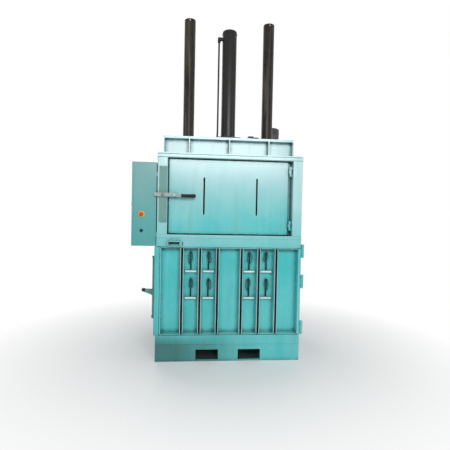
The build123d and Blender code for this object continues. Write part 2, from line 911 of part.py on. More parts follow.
export_step(hydraulic_pipes.part, "parts/hydraulic_pipes.step")

with BuildPart() as pipe_fittings:
    elbow_x = -barrel_diameter / 2 - port_reach
    half_flats = fitting_flats / 2
    with BuildSketch(Plane.XZ.offset(-half_flats)):
        with Locations(((elbow_x - pipe_offset - half_flats) / 2, z_port_high)):
            Rectangle(elbow_x + pipe_offset + half_flats, fitting_flats)
    extrude(amount=fitting_flats)
    fillet(pipe_fittings.edges().filter_by(Axis.Y).sort_by(Axis.X)[:2].sort_by(Axis.Z)[-1], 10)
    with BuildSketch(Plane((-pipe_offset, 0, top_start), z_dir=(0, 0, 1))):
        RegularPolygon(half_flats - 2, 6, major_radius=False)
    extrude(amount=fitting_length)
    with BuildSketch(Plane.XZ.offset(-port_end)):
        with Locations((0, pipe_z)):
            RegularPolygon(half_flats - 2, 6, major_radius=False)
    extrude(amount=fitting_length)
    with BuildSketch(Plane.YZ.offset(entry)):
        with Locations((motor_y - valve_pipe_spread, pipe_z), (motor_y + valve_pipe_spread, pipe_z)):
            RegularPolygon(half_flats - 2, 6, major_radius=False)
    extrude(amount=fitting_length)
pipe_fittings.part.label = "pipe_fittings"
export_step(pipe_fittings.part, "parts/pipe_fittings.step")

# Lower door: two stiles, end plates, keepers for the lock
y_web = y_door_back - door_sheet
stile_inner = door_left + left_stile
with BuildPart() as lower_door_frame:
    with BuildSketch(Plane.XY.offset(z_door_low)):
        tube_section(door_left, stile_inner, y_front, y_door_back, stile_wall, channel_fold)
        span(door_right - right_stile, door_right, y_front, y_door_back)
    extrude(amount=z_door_high - z_door_low)
    for level in (z_door_low, z_door_high - door_sheet):
        with BuildSketch(Plane.XY.offset(level)):
            span(
                stile_inner,
                door_right - right_stile,
                y_front + end_plate_setback,
                y_door_back,
            )
        extrude(amount=door_sheet)
    finger_back = lock_y + finger_width / 2 + finger_play
    finger_front = lock_y - finger_reach - 4
    with BuildSketch(Plane.YZ.offset(keeper_left)) as keepers:
        for level in finger_levels:
            span(
                y_door_back - channel_fold,
                finger_back + keeper_end,
                level - keeper_height / 2,
                level + keeper_height / 2,
            )
        fillet(keepers.vertices().group_by(Axis.X)[-1], 8)
        for level in finger_levels:
            span(
                finger_front,
                finger_back,
                level - keeper_window_height / 2,
                level + keeper_window_height / 2,
                mode=Mode.SUBTRACT,
            )
    extrude(amount=keeper_sheet)
lower_door_frame.part.label = "lower_door_frame"
export_step(lower_door_frame.part, "parts/lower_door_frame.step")

# Seven folded channels, web at the back and flanges to the front, a strap slot between each two
slot_edges = [stile_inner]
for centre in slot_centres:
    slot_edges += [centre - slot_width / 2, centre + slot_width / 2]
slot_edges += [door_right - right_stile]
channel_spans = list(zip(slot_edges[::2], slot_edges[1::2]))
staple_y = y_web - staple_reach
with BuildPart() as door_channels:
    with BuildSketch(Plane.XY.offset(z_door_low + door_sheet)):
        for x_low, x_high in channel_spans:
            folded(
                [
                    (x_high, y_front),
                    (x_high, y_door_back),
                    (x_low, y_door_back),
                    (x_low, y_front),
                ],
                door_sheet,
                channel_fold,
            )
    extrude(amount=z_door_high - z_door_low - 2 * door_sheet)
    for column in pin_columns:
        for row in pin_rows:
            with BuildSketch(Plane.XY.offset(row + staple_rise)):
                folded(
                    [
                        (column - staple_half, y_web),
                        (column - staple_half, staple_y - staple_bar / 2),
                        (column + staple_half, staple_y - staple_bar / 2),
                        (column + staple_half, y_web),
                    ],
                    staple_bar,
                    staple_bend,
                )
            extrude(amount=staple_bar / 2, both=True)
door_channels.part.label = "door_channels"
export_step(door_channels.part, "parts/door_channels.step")

# Lower door hinges: the frame carries the outer knuckles, the door the middle one and the pin
with BuildPart() as lower_hinges_frame:
    for level in hinge_levels:
        with BuildSketch(Plane.XY.offset(level)):
            span(half_width, door_right + door_gap + hinge_arm, y_frame, y_frame + 45)
            span(door_right + door_gap, door_right + door_gap + hinge_arm, hinge_y, y_frame)
            with Locations((hinge_x, hinge_y)):
                Circle(knuckle_radius)
        extrude(amount=hinge_height)
        with BuildSketch(Plane.XY.offset(level + door_knuckle_low - knuckle_gap)):
            span(half_width, hinge_x + 2 * knuckle_radius, hinge_y - 50, y_frame, mode=Mode.ADD)
        extrude(amount=door_knuckle_high - door_knuckle_low + 2 * knuckle_gap, mode=Mode.SUBTRACT)
        with BuildSketch(Plane.XY.offset(level)):
            with Locations((hinge_x, hinge_y)):
                Circle(hinge_pin / 2 + running)
        extrude(amount=hinge_height, mode=Mode.SUBTRACT)
lower_hinges_frame.part.label = "lower_hinges_frame"
export_step(lower_hinges_frame.part, "parts/lower_hinges_frame.step")

with BuildPart() as lower_hinges_door:
    for level in hinge_levels:
        with BuildSketch(Plane.XY.offset(level + door_knuckle_low)):
            span(door_right, door_right + hinge_leaf, hinge_y, hinge_y + hinge_leaf_reach)
            with Locations((hinge_x, hinge_y)):
                Circle(knuckle_radius)
                Circle(hinge_pin / 2 + running, mode=Mode.SUBTRACT)
        extrude(amount=door_knuckle_high - door_knuckle_low)
    for level in hinge_levels:
        with BuildSketch(Plane.XY.offset(level - seat)):
            with Locations((hinge_x, hinge_y)):
                Circle(hinge_pin / 2)
        extrude(amount=hinge_height + 2 * seat)
        with BuildSketch(Plane.XY.offset(level - seat - pin_head_height)):
            with Locations((hinge_x, hinge_y)):
                Circle(pin_head_radius)
        extrude(amount=pin_head_height)
        with BuildSketch(Plane.XY.offset(level + hinge_height + seat)):
            with Locations((hinge_x, hinge_y)):
                Circle(pin_head_radius)
        extrude(amount=pin_head_height)
lower_hinges_door.part.label = "lower_hinges_door"
export_step(lower_hinges_door.part, "parts/lower_hinges_door.step")

# Lower door lock: an upright shaft on the left front post, its fingers turn into the keepers
with BuildPart() as lock_shaft:
    with BuildSketch(Plane.XY.offset(lock_low)):
        with Locations((lock_x, lock_y)):
            Circle(lock_shaft_diameter / 2)
    extrude(amount=lock_high - lock_low)
    z_collar = lock_low + 6 + bracket_sheet + seat
    with BuildSketch(Plane.XY.offset(z_collar)):
        with Locations((lock_x, lock_y)):
            Circle(collar_radius)
    extrude(amount=collar_height)
    for level in finger_levels:
        with BuildSketch(Plane.XY.offset(level - finger_height / 2)):
            span(lock_x - finger_width / 2, lock_x + finger_width / 2, lock_y - finger_reach, lock_y)
        extrude(amount=finger_height)
lock_shaft.part.label = "lock_shaft"
export_step(lock_shaft.part, "parts/lock_shaft.step")

with BuildPart() as lock_lever:
    lever_end = lock_x - lever_hub_radius - lever_length
    with BuildSketch(Plane.XZ.offset(-lock_y)) as lever_blade:
        with BuildLine():
            Polyline(
                (lock_x - lock_shaft_diameter / 2 - 2, lever_z - lever_root_height / 2),
                (lock_x - lock_shaft_diameter / 2 - 2, lever_z + lever_root_height / 2),
                (lever_end, lever_z + lever_root_height / 2 + 4),
                (lever_end, lever_z + lever_root_height / 2 + 4 - lever_tip_height),
                close=True,
            )
        make_face()
        fillet(lever_blade.vertices().group_by(Axis.X)[0], 10)
    extrude(amount=lever_sheet / 2, both=True)
    with BuildSketch(Plane.XY.offset(lever_z - lever_root_height / 2)):
        with Locations((lock_x, lock_y)):
            Circle(lever_hub_radius)
    extrude(amount=lever_root_height)
    with BuildSketch(Plane.XY.offset(lever_z - lever_root_height)):
        with Locations((lock_x, lock_y)):
            Circle(lock_shaft_diameter / 2 + seat)
    extrude(amount=2 * lever_root_height, mode=Mode.SUBTRACT)
lock_lever.part.label = "lock_lever"
export_step(lock_lever.part, "parts/lock_lever.step")

with BuildPart() as lock_brackets:
    for level in (lock_low + 6, lock_high - 6 - bracket_sheet):
        with BuildSketch(Plane.XY.offset(level)):
            span(lock_x, -half_width, lock_y - collar_radius, lock_y + collar_radius)
            with Locations((lock_x, lock_y)):
                Circle(collar_radius)
                Circle(lock_shaft_diameter / 2 + running, mode=Mode.SUBTRACT)
        extrude(amount=bracket_sheet)
lock_brackets.part.label = "lock_brackets"
export_step(lock_brackets.part, "parts/lock_brackets.step")

# Strap pins: stem with an eye and a T-bar, on a short chain of flat links hung from the staple
link_step = link_pitch + link_bore / 2 + link_sheet / 2


def link_outline(top, drop):
    """Draw one flat link: a slot-shaped ring whose top seat is centred on the height given."""
    with Locations((0, top - drop / 2)):
        SlotCenterToCenter(drop, link_bore + 2 * link_sheet, rotation=90)
        SlotCenterToCenter(drop, link_bore, rotation=90, mode=Mode.SUBTRACT)


pin_number = 0
for row in pin_rows:
    for column in pin_columns:
        pin_number += 1
        z_staple = row + staple_rise
        z_eye = z_staple - link_count * link_step
        across = Plane((column, staple_y, 0), x_dir=(0, 1, 0), z_dir=(1, 0, 0))
        facing = Plane((column, staple_y, 0), x_dir=(1, 0, 0), z_dir=(0, -1, 0))
        with BuildPart() as strap_pin:
            for link in range(link_count):
                with BuildSketch((across, facing)[link % 2]):
                    link_outline(z_staple - link * link_step, link_pitch)
                extrude(amount=link_sheet / 2, both=True)
            with BuildSketch((across, facing)[link_count % 2]):
                with Locations((0, z_eye)):
                    Circle(link_bore / 2 + link_sheet)
                    Circle(link_bore / 2, mode=Mode.SUBTRACT)
            extrude(amount=link_sheet / 2, both=True)
            with BuildSketch(Plane.XY.offset(row)):
                with Locations((column, staple_y)):
                    Circle(pin_stem_diameter / 2)
            extrude(amount=z_eye - link_bore / 2 - link_sheet / 2 - row)
            with BuildSketch(Plane.YZ.offset(column)):
                with Locations((staple_y, row)):
                    Circle(pin_bar_diameter / 2)
            extrude(amount=pin_bar_length / 2, both=True)
            bar_ends = strap_pin.faces().filter_by(Axis.X).filter_by(GeomType.PLANE)
            chamfer([bar_ends.sort_by(Axis.X)[0].edges(), bar_ends.sort_by(Axis.X)[-1].edges()], 2)
        strap_pin.part.label = f"strap_pin_{pin_number}"
        export_step(strap_pin.part, f"parts/strap_pin_{pin_number}.step")

# Upper door: a folded tray with two slots, stiffened at the back
upper_left = -wall_outer + swing_gap
upper_right = wall_outer - upper_reveal
upper_front = y_front + upper_recess
upper_low = z_sill + upper_gap
upper_high = z_band - upper_gap
with BuildPart() as upper_door_panel:
    with BuildSketch(Plane.XZ.offset(-upper_front)):
        span(upper_left, upper_right, upper_low, upper_high)
    extrude(amount=-upper_flange)
    fillet(upper_door_panel.faces().sort_by(Axis.Y)[0].edges(), upper_fold)
    with BuildSketch(Plane.XZ.offset(-upper_front - upper_flange)):
        span(
            upper_left + upper_sheet,
            upper_right - upper_sheet,
            upper_low + upper_sheet,
            upper_high - upper_sheet,
        )
    extrude(amount=upper_flange - upper_sheet, mode=Mode.SUBTRACT)
    with BuildSketch(Plane.XZ.offset(-upper_front)):
        for x in (-upper_slot_x, upper_slot_x):
            with Locations((x, (upper_slot_low + upper_slot_high) / 2)):
                SlotOverall(upper_slot_high - upper_slot_low, upper_slot_width, rotation=90)
    extrude(amount=-2 * upper_sheet, mode=Mode.SUBTRACT)
    with BuildSketch(Plane.YZ.offset(upper_left + upper_sheet)):
        for level in stiffener_levels:
            y_low = upper_front + upper_sheet
            folded(
                [
                    (y_low, level - stiffener_height / 2),
                    (y_low + stiffener_depth, level - stiffener_height / 2),
                    (y_low + stiffener_depth, level + stiffener_height / 2),
                    (y_low, level + stiffener_height / 2),
                ],
                3.0,
                6.0,
            )
    extrude(amount=upper_right - upper_left - 2 * upper_sheet)
upper_door_panel.part.label = "upper_door_panel"
export_step(upper_door_panel.part, "parts/upper_door_panel.step")

# Upper hinges, in the reveal on the right
upper_hinge_x = wall_outer - upper_reveal / 2
upper_hinge_y = y_front + upper_hinge_drop
third = upper_hinge_height / 3
with BuildPart() as upper_hinges_frame:
    for level in upper_hinge_levels:
        with BuildSketch(Plane.XY.offset(level)):
            span(upper_hinge_x, wall_outer, upper_hinge_y - upper_leaf / 2, upper_hinge_y + upper_leaf)
            with Locations((upper_hinge_x, upper_hinge_y)):
                Circle(upper_knuckle_radius)
        extrude(amount=upper_hinge_height)
        with BuildSketch(Plane.XY.offset(level + third - knuckle_gap)):
            with Locations((upper_hinge_x, upper_hinge_y)):
                Rectangle(4 * upper_knuckle_radius, 4 * upper_knuckle_radius)
        extrude(amount=third + 2 * knuckle_gap, mode=Mode.SUBTRACT)
        with BuildSketch(Plane.XY.offset(level)):
            with Locations((upper_hinge_x, upper_hinge_y)):
                Circle(upper_pin / 2 + running)
        extrude(amount=upper_hinge_height, mode=Mode.SUBTRACT)
upper_hinges_frame.part.label = "upper_hinges_frame"
export_step(upper_hinges_frame.part, "parts/upper_hinges_frame.step")

with BuildPart() as upper_hinges_door:
    for level in upper_hinge_levels:
        with BuildSketch(Plane.XY.offset(level + third)):
            span(
                upper_right,
                upper_right + upper_leaf,
                upper_hinge_y - upper_leaf / 2,
                upper_hinge_y + upper_leaf_reach,
            )
            span(
                upper_right,
                upper_hinge_x,
                upper_hinge_y - upper_leaf / 2,
                upper_hinge_y + upper_leaf / 2,
            )
            with Locations((upper_hinge_x, upper_hinge_y)):
                Circle(upper_knuckle_radius)
                Circle(upper_pin / 2 + running, mode=Mode.SUBTRACT)
        extrude(amount=third)
    for level in upper_hinge_levels:
        with BuildSketch(Plane.XY.offset(level - seat)):
            with Locations((upper_hinge_x, upper_hinge_y)):
                Circle(upper_pin / 2)
        extrude(amount=upper_hinge_height + 2 * seat)
        with BuildSketch(Plane.XY.offset(level + upper_hinge_height + seat)):
            with Locations((upper_hinge_x, upper_hinge_y)):
                Circle(upper_pin / 2 + 3)
        extrude(amount=3)
upper_hinges_door.part.label = "upper_hinges_door"
export_step(upper_hinges_door.part, "parts/upper_hinges_door.step")

# Upper latch: a flat bar on a stand-off boss, notched over the stud on the post cover
latch_back = upper_front - latch_stand_off
with BuildPart() as latch_arm:
    with BuildSketch(Plane.XZ.offset(-latch_back)) as arm:
        half = latch_height / 2
        with BuildLine():
            Polyline(
                (latch_left, latch_z - half + 8),
                (latch_left, latch_z + half),
                (latch_x + 34, latch_z + half),
                (latch_step, tang_z + tang_height / 2),
                (grip_right - 24, tang_z + tang_height / 2),
                (grip_right - 24, tang_z - tang_height / 2),
                (latch_step, tang_z - tang_height / 2),
                (latch_x + 34, latch_z - half),
                (latch_left + 34, latch_z - half),
                close=True,
            )
        make_face()
        fillet(arm.vertices().group_by(Axis.X)[0], 6)
        with Locations((stud_x, latch_z)):
            Circle(stud_diameter / 2 + stud_gap, mode=Mode.SUBTRACT)
        span(
            stud_x - stud_diameter / 2 - stud_gap,
            stud_x + stud_diameter / 2 + stud_gap,
            latch_z - latch_height,
            latch_z,
            mode=Mode.SUBTRACT,
        )
        with Locations((latch_x, latch_z)):
            Circle(latch_bolt / 2 + running, mode=Mode.SUBTRACT)
    extrude(amount=latch_sheet)
latch_arm.part.label = "latch_arm"
export_step(latch_arm.part, "parts/latch_arm.step")

with BuildPart() as latch_grip:
    with BuildSketch(Plane.XY.offset(tang_z)) as grip:
        y_grip = latch_back - latch_sheet / 2
        with BuildLine():
            Polyline(
                (grip_left, y_grip),
                (grip_left, y_grip - grip_radius - 2),
                (grip_left + 8, y_grip - grip_radius - 2),
                (grip_left + 12, y_grip - grip_radius + 2),
                (grip_right - 12, y_grip - grip_radius),
                (grip_right, y_grip - grip_radius + 8),
                (grip_right, y_grip),
                close=True,
            )
        make_face()
    revolve(axis=Axis((grip_left, y_grip, tang_z), (1, 0, 0)))
    with BuildSketch(Plane.XZ.offset(-latch_back + latch_sheet / 2)) as tang:
        span(
            grip_left - 1,
            grip_right - 24 + seat,
            tang_z - tang_height / 2 - seat / 2,
            tang_z + tang_height / 2 + seat / 2,
        )
    extrude(amount=latch_sheet / 2 + seat / 2, both=True, mode=Mode.SUBTRACT)
latch_grip.part.label = "latch_grip"
export_step(latch_grip.part, "parts/latch_grip.step")

with BuildPart() as latch_mount:
    with BuildSketch(Plane.XZ.offset(-upper_front)):
        with Locations((latch_x, latch_z)):
            Circle(latch_boss_radius)
            Circle(latch_bolt / 2 + seat, mode=Mode.SUBTRACT)
    extrude(amount=latch_stand_off - seat)
    with BuildSketch(Plane.XZ.offset(-upper_front)):
        with Locations((latch_x, latch_z)):
            Circle(latch_bolt / 2)
    extrude(amount=latch_stand_off + latch_sheet + seat)
    with BuildSketch(Plane.XZ.offset(-latch_back + latch_sheet + seat)):
        with Locations((latch_x, latch_z)):
            RegularPolygon(12, 6, major_radius=False)
    extrude(amount=9)
latch_mount.part.label = "latch_mount"
export_step(latch_mount.part, "parts/latch_mount.step")

with BuildPart() as post_cover:
    with BuildSketch(Plane.XZ.offset(-y_front)):
        with Locations(((cover_left + cover_right) / 2, (cover_low + cover_high) / 2)):
            RectangleRounded(cover_right - cover_left, cover_high - cover_low, 4)
    extrude(amount=cover_sheet)
    with BuildSketch(Plane.XZ.offset(-y_front + cover_sheet)):
        with Locations((stud_x, latch_z)):
            Circle(stud_diameter / 2)
    extrude(amount=y_front - cover_sheet - latch_back + latch_sheet + 6)
    chamfer(post_cover.faces().sort_by(Axis.Y)[0].edges(), 1.5)
post_cover.part.label = "post_cover"
export_step(post_cover.part, "parts/post_cover.step")

# Control box on the left side: shell open to the left, pads to the post, gear inside, door
box_right = -half_width - box_stand_off
box_left = box_right - box_width
box_back = box_front + box_depth
shell_left = box_left + box_door_depth
box_high = box_low + box_height
box_hinge_x = shell_left - 1 - box_hinge_radius
box_hinge_y = box_back + box_hinge_radius
box_hinge_levels = (box_low + 100, box_high - 120)
gland_x = (shell_left + box_right) / 2
gland_centres = [(gland_x, gland_y - gland_pitch / 2), (gland_x, gland_y + gland_pitch / 2)]
with BuildPart() as control_box:
    with BuildSketch(Plane.XY.offset(box_low)):
        span(shell_left, box_right, box_front, box_back)
    extrude(amount=box_height)
    fillet(control_box.edges().filter_by(Axis.X), box_radius)
    with BuildSketch(Plane.YZ.offset(shell_left)):
        span(
            box_front + box_sheet,
            box_back - box_sheet,
            box_low + box_sheet,
            box_high - box_sheet,
        )
    extrude(amount=box_width - box_door_depth - box_sheet, mode=Mode.SUBTRACT)
    with BuildSketch(Plane.XZ.offset(-box_front)):
        with Locations((button_x, stop_z), (button_x, push_z)):
            Circle(button_hole / 2 + seat)
    extrude(amount=-2 * box_sheet, mode=Mode.SUBTRACT)
    with BuildSketch(Plane.XY.offset(box_low)):
        with Locations(*gland_centres):
            Circle(gland_thread / 2 + seat)
    extrude(amount=2 * box_sheet, mode=Mode.SUBTRACT)
    for level in box_hinge_levels:
        with BuildSketch(Plane.XY.offset(level - box_hinge_height - knuckle_gap)):
            span(box_hinge_x, shell_left + 30, box_back, box_back + box_sheet)
            with Locations((box_hinge_x, box_hinge_y)):
                Circle(box_hinge_radius)
                Circle(box_hinge_pin / 2 + running, mode=Mode.SUBTRACT)
        extrude(amount=box_hinge_height)
    with BuildSketch(Plane.YZ.offset(box_right)):
        for y in (y_front + 30, y_frame + 30):
            for z in (box_low + 110, box_high - 110):
                with Locations((y, z)):
                    Rectangle(40, 40)
    extrude(amount=box_stand_off)
control_box.part.label = "control_box"
export_step(control_box.part, "parts/control_box.step")

gear_back = box_right - box_sheet
with BuildPart() as control_gear:
    with BuildSketch(Plane.YZ.offset(gear_back)):
        span(box_front + 60, box_back - 60, box_low + 60, box_high - 60)
    extrude(amount=-4)
    for z, widths in ((box_high - 190, (54, 45, 45, 72)), (box_high - 400, (90, 45, 45, 36, 36))):
        y = box_front + 110
        with BuildSketch(Plane.YZ.offset(gear_back - 4)):
            span(box_front + 90, box_back - 90, z - 17, z + 17)
        extrude(amount=-8)
        for width in widths:
            with BuildSketch(Plane.YZ.offset(gear_back - 12)):
                span(y, y + width, z - 40, z + 40)
            extrude(amount=-70)
            y += width + 8
    # Two cable glands through the floor of the box, each held by a nut inside
    with BuildSketch(Plane.XY.offset(box_low - gland_flange)):
        with Locations(*gland_centres):
            RegularPolygon(gland_flats / 2, 6, major_radius=False)
    extrude(amount=gland_flange)
    with BuildSketch(Plane.XY.offset(box_low - gland_flange - gland_dome)):
        with Locations(*gland_centres):
            Circle(gland_flats / 2 - 2)
    extrude(amount=gland_dome)
    fillet(control_gear.faces().group_by(Axis.Z)[0].edges(), 4)
    with BuildSketch(Plane.XY.offset(box_low - gland_flange - gland_dome)):
        with Locations(*gland_centres):
            Circle(gland_thread / 3)
    extrude(amount=gland_dome / 2, mode=Mode.SUBTRACT)
    with BuildSketch(Plane.XY.offset(box_low)):
        with Locations(*gland_centres):
            Circle(gland_thread / 2)
    extrude(amount=gland_flange)
    with BuildSketch(Plane.XY.offset(box_low + box_sheet)):
        with Locations(*gland_centres):
            RegularPolygon(gland_flats / 2, 6, major_radius=False)
    extrude(amount=gland_flange / 2)
control_gear.part.label = "control_gear"
export_step(control_gear.part, "parts/control_gear.step")

with BuildPart() as control_door:
    with BuildSketch(Plane.XY.offset(box_low)):
        span(box_left, shell_left - 1, box_front, box_back)
    extrude(amount=box_height)
    fillet(control_door.faces().sort_by(Axis.X)[0].edges(), 3)
    with BuildSketch(Plane.YZ.offset(shell_left - 1)):
        span(
            box_front + door_tray_sheet,
            box_back - door_tray_sheet,
            box_low + door_tray_sheet,
            box_high - door_tray_sheet,
        )
    extrude(amount=-box_door_depth + 1 + door_tray_sheet, mode=Mode.SUBTRACT)
    lock_z = (box_low + box_high) / 2
    with BuildSketch(Plane.YZ.offset(box_left)):
        with Locations((box_front + 40, lock_z)):
            Circle(9 + seat)
    extrude(amount=4, mode=Mode.SUBTRACT)
    for level in box_hinge_levels:
        with BuildSketch(Plane.XY.offset(level)):
            span(
                box_hinge_x - box_hinge_radius,
                box_hinge_x + box_hinge_radius,
                box_back,
                box_hinge_y,
            )
            with Locations((box_hinge_x, box_hinge_y)):
                Circle(box_hinge_radius)
        extrude(amount=box_hinge_height)
        with BuildSketch(Plane.XY.offset(level - box_hinge_height)):
            with Locations((box_hinge_x, box_hinge_y)):
                Circle(box_hinge_pin / 2)
        extrude(amount=box_hinge_height)
control_door.part.label = "control_door"
export_step(control_door.part, "parts/control_door.step")

with BuildPart() as control_lock:
    with BuildSketch(Plane.YZ.offset(box_left + 12)):
        with Locations((box_front + 40, lock_z)):
            Circle(9)
    extrude(amount=-12 - seat)
    with BuildSketch(Plane.YZ.offset(box_left - seat)):
        with Locations((box_front + 40, lock_z)):
            Circle(lock_head / 2)
    extrude(amount=-6)
    with BuildSketch(Plane.YZ.offset(box_left + 12)):
        with Locations((box_front + 40, lock_z)):
            Rectangle(40, 14)
    extrude(amount=-3)
control_lock.part.label = "control_lock"
export_step(control_lock.part, "parts/control_lock.step")

with BuildPart() as button_collars:
    with BuildSketch(Plane.XZ.offset(-box_front)):
        with Locations((button_x, stop_z)):
            Circle(stop_collar / 2)
            Circle(button_hole / 2 + seat, mode=Mode.SUBTRACT)
        with Locations((button_x, push_z)):
            Circle(push_collar / 2)
            Circle(push_head / 2 + seat, mode=Mode.SUBTRACT)
    extrude(amount=6)
button_collars.part.label = "button_collars"
export_step(button_collars.part, "parts/button_collars.step")

with BuildPart() as e_stop_button:
    with BuildSketch(Plane.XZ.offset(-box_front - 40)):
        with Locations((button_x, stop_z)):
            Circle(button_hole / 2)
    extrude(amount=40 + 14)
    with BuildSketch(Plane.XZ.offset(-box_front + 14)):
        with Locations((button_x, stop_z)):
            Circle(stop_head / 2)
    extrude(amount=16)
    fillet(e_stop_button.faces().sort_by(Axis.Y)[0].edges(), 6)
e_stop_button.part.label = "e_stop_button"
export_step(e_stop_button.part, "parts/e_stop_button.step")

with BuildPart() as push_button:
    with BuildSketch(Plane.XZ.offset(-box_front - 35)):
        with Locations((button_x, push_z)):
            Circle(button_hole / 2)
    extrude(amount=35)
    with BuildSketch(Plane.XZ.offset(-box_front)):
        with Locations((button_x, push_z)):
            Circle(button_hole / 2)
    extrude(amount=10)
    fillet(push_button.faces().sort_by(Axis.Y)[0].edges(), 1.5)
push_button.part.label = "push_button"
export_step(push_button.part, "parts/push_button.step")
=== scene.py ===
"""Visual model of a vertical recycling baler, dressed around its packed construction model.

Metres, in the construction model's own frame: front towards -Y, +Z up, floor at zero.
"""
import json
import math
import random
from functools import cache

import bmesh
import bpy
from bpy.props import FloatProperty, FloatVectorProperty, IntProperty, PointerProperty
from mathutils import Euler, Matrix, Vector


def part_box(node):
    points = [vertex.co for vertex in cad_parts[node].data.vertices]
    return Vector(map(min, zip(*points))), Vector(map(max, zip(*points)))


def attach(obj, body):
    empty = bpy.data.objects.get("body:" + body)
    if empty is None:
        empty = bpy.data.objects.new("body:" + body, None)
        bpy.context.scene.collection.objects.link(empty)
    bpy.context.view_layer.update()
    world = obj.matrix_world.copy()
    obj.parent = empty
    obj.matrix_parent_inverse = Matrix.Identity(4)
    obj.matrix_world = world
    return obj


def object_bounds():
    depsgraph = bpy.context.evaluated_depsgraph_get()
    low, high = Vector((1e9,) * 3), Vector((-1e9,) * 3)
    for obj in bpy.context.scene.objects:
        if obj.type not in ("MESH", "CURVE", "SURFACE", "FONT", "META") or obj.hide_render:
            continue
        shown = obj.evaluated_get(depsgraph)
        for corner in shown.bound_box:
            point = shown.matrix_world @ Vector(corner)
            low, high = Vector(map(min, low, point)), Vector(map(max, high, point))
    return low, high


bl_info = {
    "name": "Recycling baler",
    "version": (1, 0, 0),
    "blender": (4, 5, 0),
    "location": "3D View > Sidebar > Baler",
    "description": "Finishes, welds and small parts of a vertical recycling baler",
    "category": "Object",
}

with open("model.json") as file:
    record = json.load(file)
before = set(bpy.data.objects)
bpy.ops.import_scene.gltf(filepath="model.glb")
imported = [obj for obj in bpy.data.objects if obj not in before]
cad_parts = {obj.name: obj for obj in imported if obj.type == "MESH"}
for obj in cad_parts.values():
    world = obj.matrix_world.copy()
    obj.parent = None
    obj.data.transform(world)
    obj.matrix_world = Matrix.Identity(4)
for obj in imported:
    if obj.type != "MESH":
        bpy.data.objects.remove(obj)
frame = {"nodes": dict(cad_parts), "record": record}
cad_low, cad_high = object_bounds()


def colour(name, description, *default):
    """A colour that the user can set, in linear light."""
    return FloatVectorProperty(
        name=name, description=description, subtype="COLOR", size=3, min=0, max=1, default=default
    )


def length(name, description, default):
    """A size that the user can set, in metres."""
    return FloatProperty(
        name=name, description=description, default=default, min=0, subtype="DISTANCE",
        unit="LENGTH",
    )


def angle(name, description, degrees):
    """An angle that the user can set."""
    return FloatProperty(
        name=name, description=description, subtype="ANGLE", default=math.radians(degrees)
    )


def amount(name, description, default):
    """A plain amount that the user can set."""
    return FloatProperty(name=name, description=description, default=default, min=0)


class BalerPaint(bpy.types.PropertyGroup):
    """Colours of the enamels, metals and plastics."""

    teal: colour("Teal", "Body enamel", 0.050, 0.49, 0.50)
    teal_pale: colour("Pale teal", "Body enamel where it has chalked", 0.115, 0.56, 0.57)
    # Painted light: the paler teal that the enamel takes high up, standing in for the light there
    painted_light_teal: colour("Painted light teal", "Body enamel high up, in the light", 0.44, 0.67, 0.69)
    box_teal: colour("Box teal", "Enamel on the control box", 0.060, 0.35, 0.35)
    cover_green: colour("Cover green", "Older enamel on the post cover", 0.12, 0.29, 0.26)
    black: colour("Black", "Enamel on the cylinder and pipes", 0.012, 0.0115, 0.011)
    grease: colour("Grease", "Old grease on the guide tubes", 0.008, 0.007, 0.006)
    # Painted reflection: the zinc's teal tint stands in for the teal paint mirrored in it
    zinc: colour("Zinc", "Plated strap pins", 0.74, 0.93, 0.90)
    dull_zinc: colour("Dull zinc", "Weathered plating on the latch", 0.34, 0.40, 0.38)
    steel: colour("Steel", "Bare steel under worn paint", 0.30, 0.29, 0.27)
    chain: colour("Chain", "Oily dark links", 0.006, 0.010, 0.011)
    rust: colour("Rust", "Rust along bare edges", 0.16, 0.07, 0.035)
    # Painted shade: the dark teal that corners and recesses take, also the colour of dirt in runs
    soil_and_shade_colour: colour("Soil and shade", "Dirt in corners", 0.008, 0.060, 0.062)
    motor: colour("Motor grey", "Enamel on the motor casting", 0.10, 0.11, 0.12)
    bronze: colour("Bronze", "Guide bushes", 0.46, 0.30, 0.12)
    stop_red: colour("Stop red", "Head of the stop button", 0.58, 0.06, 0.015)
    stop_yellow: colour("Stop yellow", "Collar of the stop button", 0.90, 0.55, 0.02)


class BalerDetails(bpy.types.PropertyGroup):
    """Sizes of the small parts."""

    weld_width: length("Weld width", "Across a weld bead", 0.009)
    weld_pitch: length("Weld pitch", "From one ripple of a bead to the next", 0.0066)
    chain_pitch: length("Chain pitch", "From one link of a slack chain to the next", 0.0088)
    chain_wire: length("Chain wire", "Radius of a link's wire", 0.0012)
    screw_radius: length("Screw", "Half the width of a small hexagon head", 0.0065)
    grille_wire: length("Grille wire", "Radius of the fan grille's wire", 0.0016)
    grille_rings: IntProperty(
        name="Grille rings", description="Rings of the fan grille", default=6, min=2
    )
    grip_ribs: IntProperty(
        name="Grip ribs", description="Ribs on the latch grip", default=12, min=0
    )


class BalerStage(bpy.types.PropertyGroup):
    """Camera, floor and lamps."""

    camera_place: FloatVectorProperty(
        name="Camera place", description="Where the photographer stood", size=3,
        subtype="TRANSLATION", unit="LENGTH", default=(-0.384, -4.05, 1.381),
    )
    camera_yaw: angle("Yaw", "Turn to the right", 5.27)
    camera_pitch: angle("Pitch", "Tilt upwards", -1.32)
    camera_roll: angle("Roll", "Tilt of the horizon", 1.14)
    lens: amount("Lens", "Focal length in mm", 30.62)
    floor_colour: colour("Floor", "Plain pale floor", 0.86, 0.87, 0.88)
    backdrop: amount("Backdrop", "Level of the floor far off", 1.0)
    plain_from: length("Plain from", "Where the floor starts to fade to plain", 0.9)
    plain_at: length("Plain at", "Where the floor is quite plain", 2.6)
    key_power: amount("Key lamp", "Watts", 140)
    fill_power: amount("Fill lamp", "Watts", 22)
    world_level: amount("World", "Light from all round", 0.34)


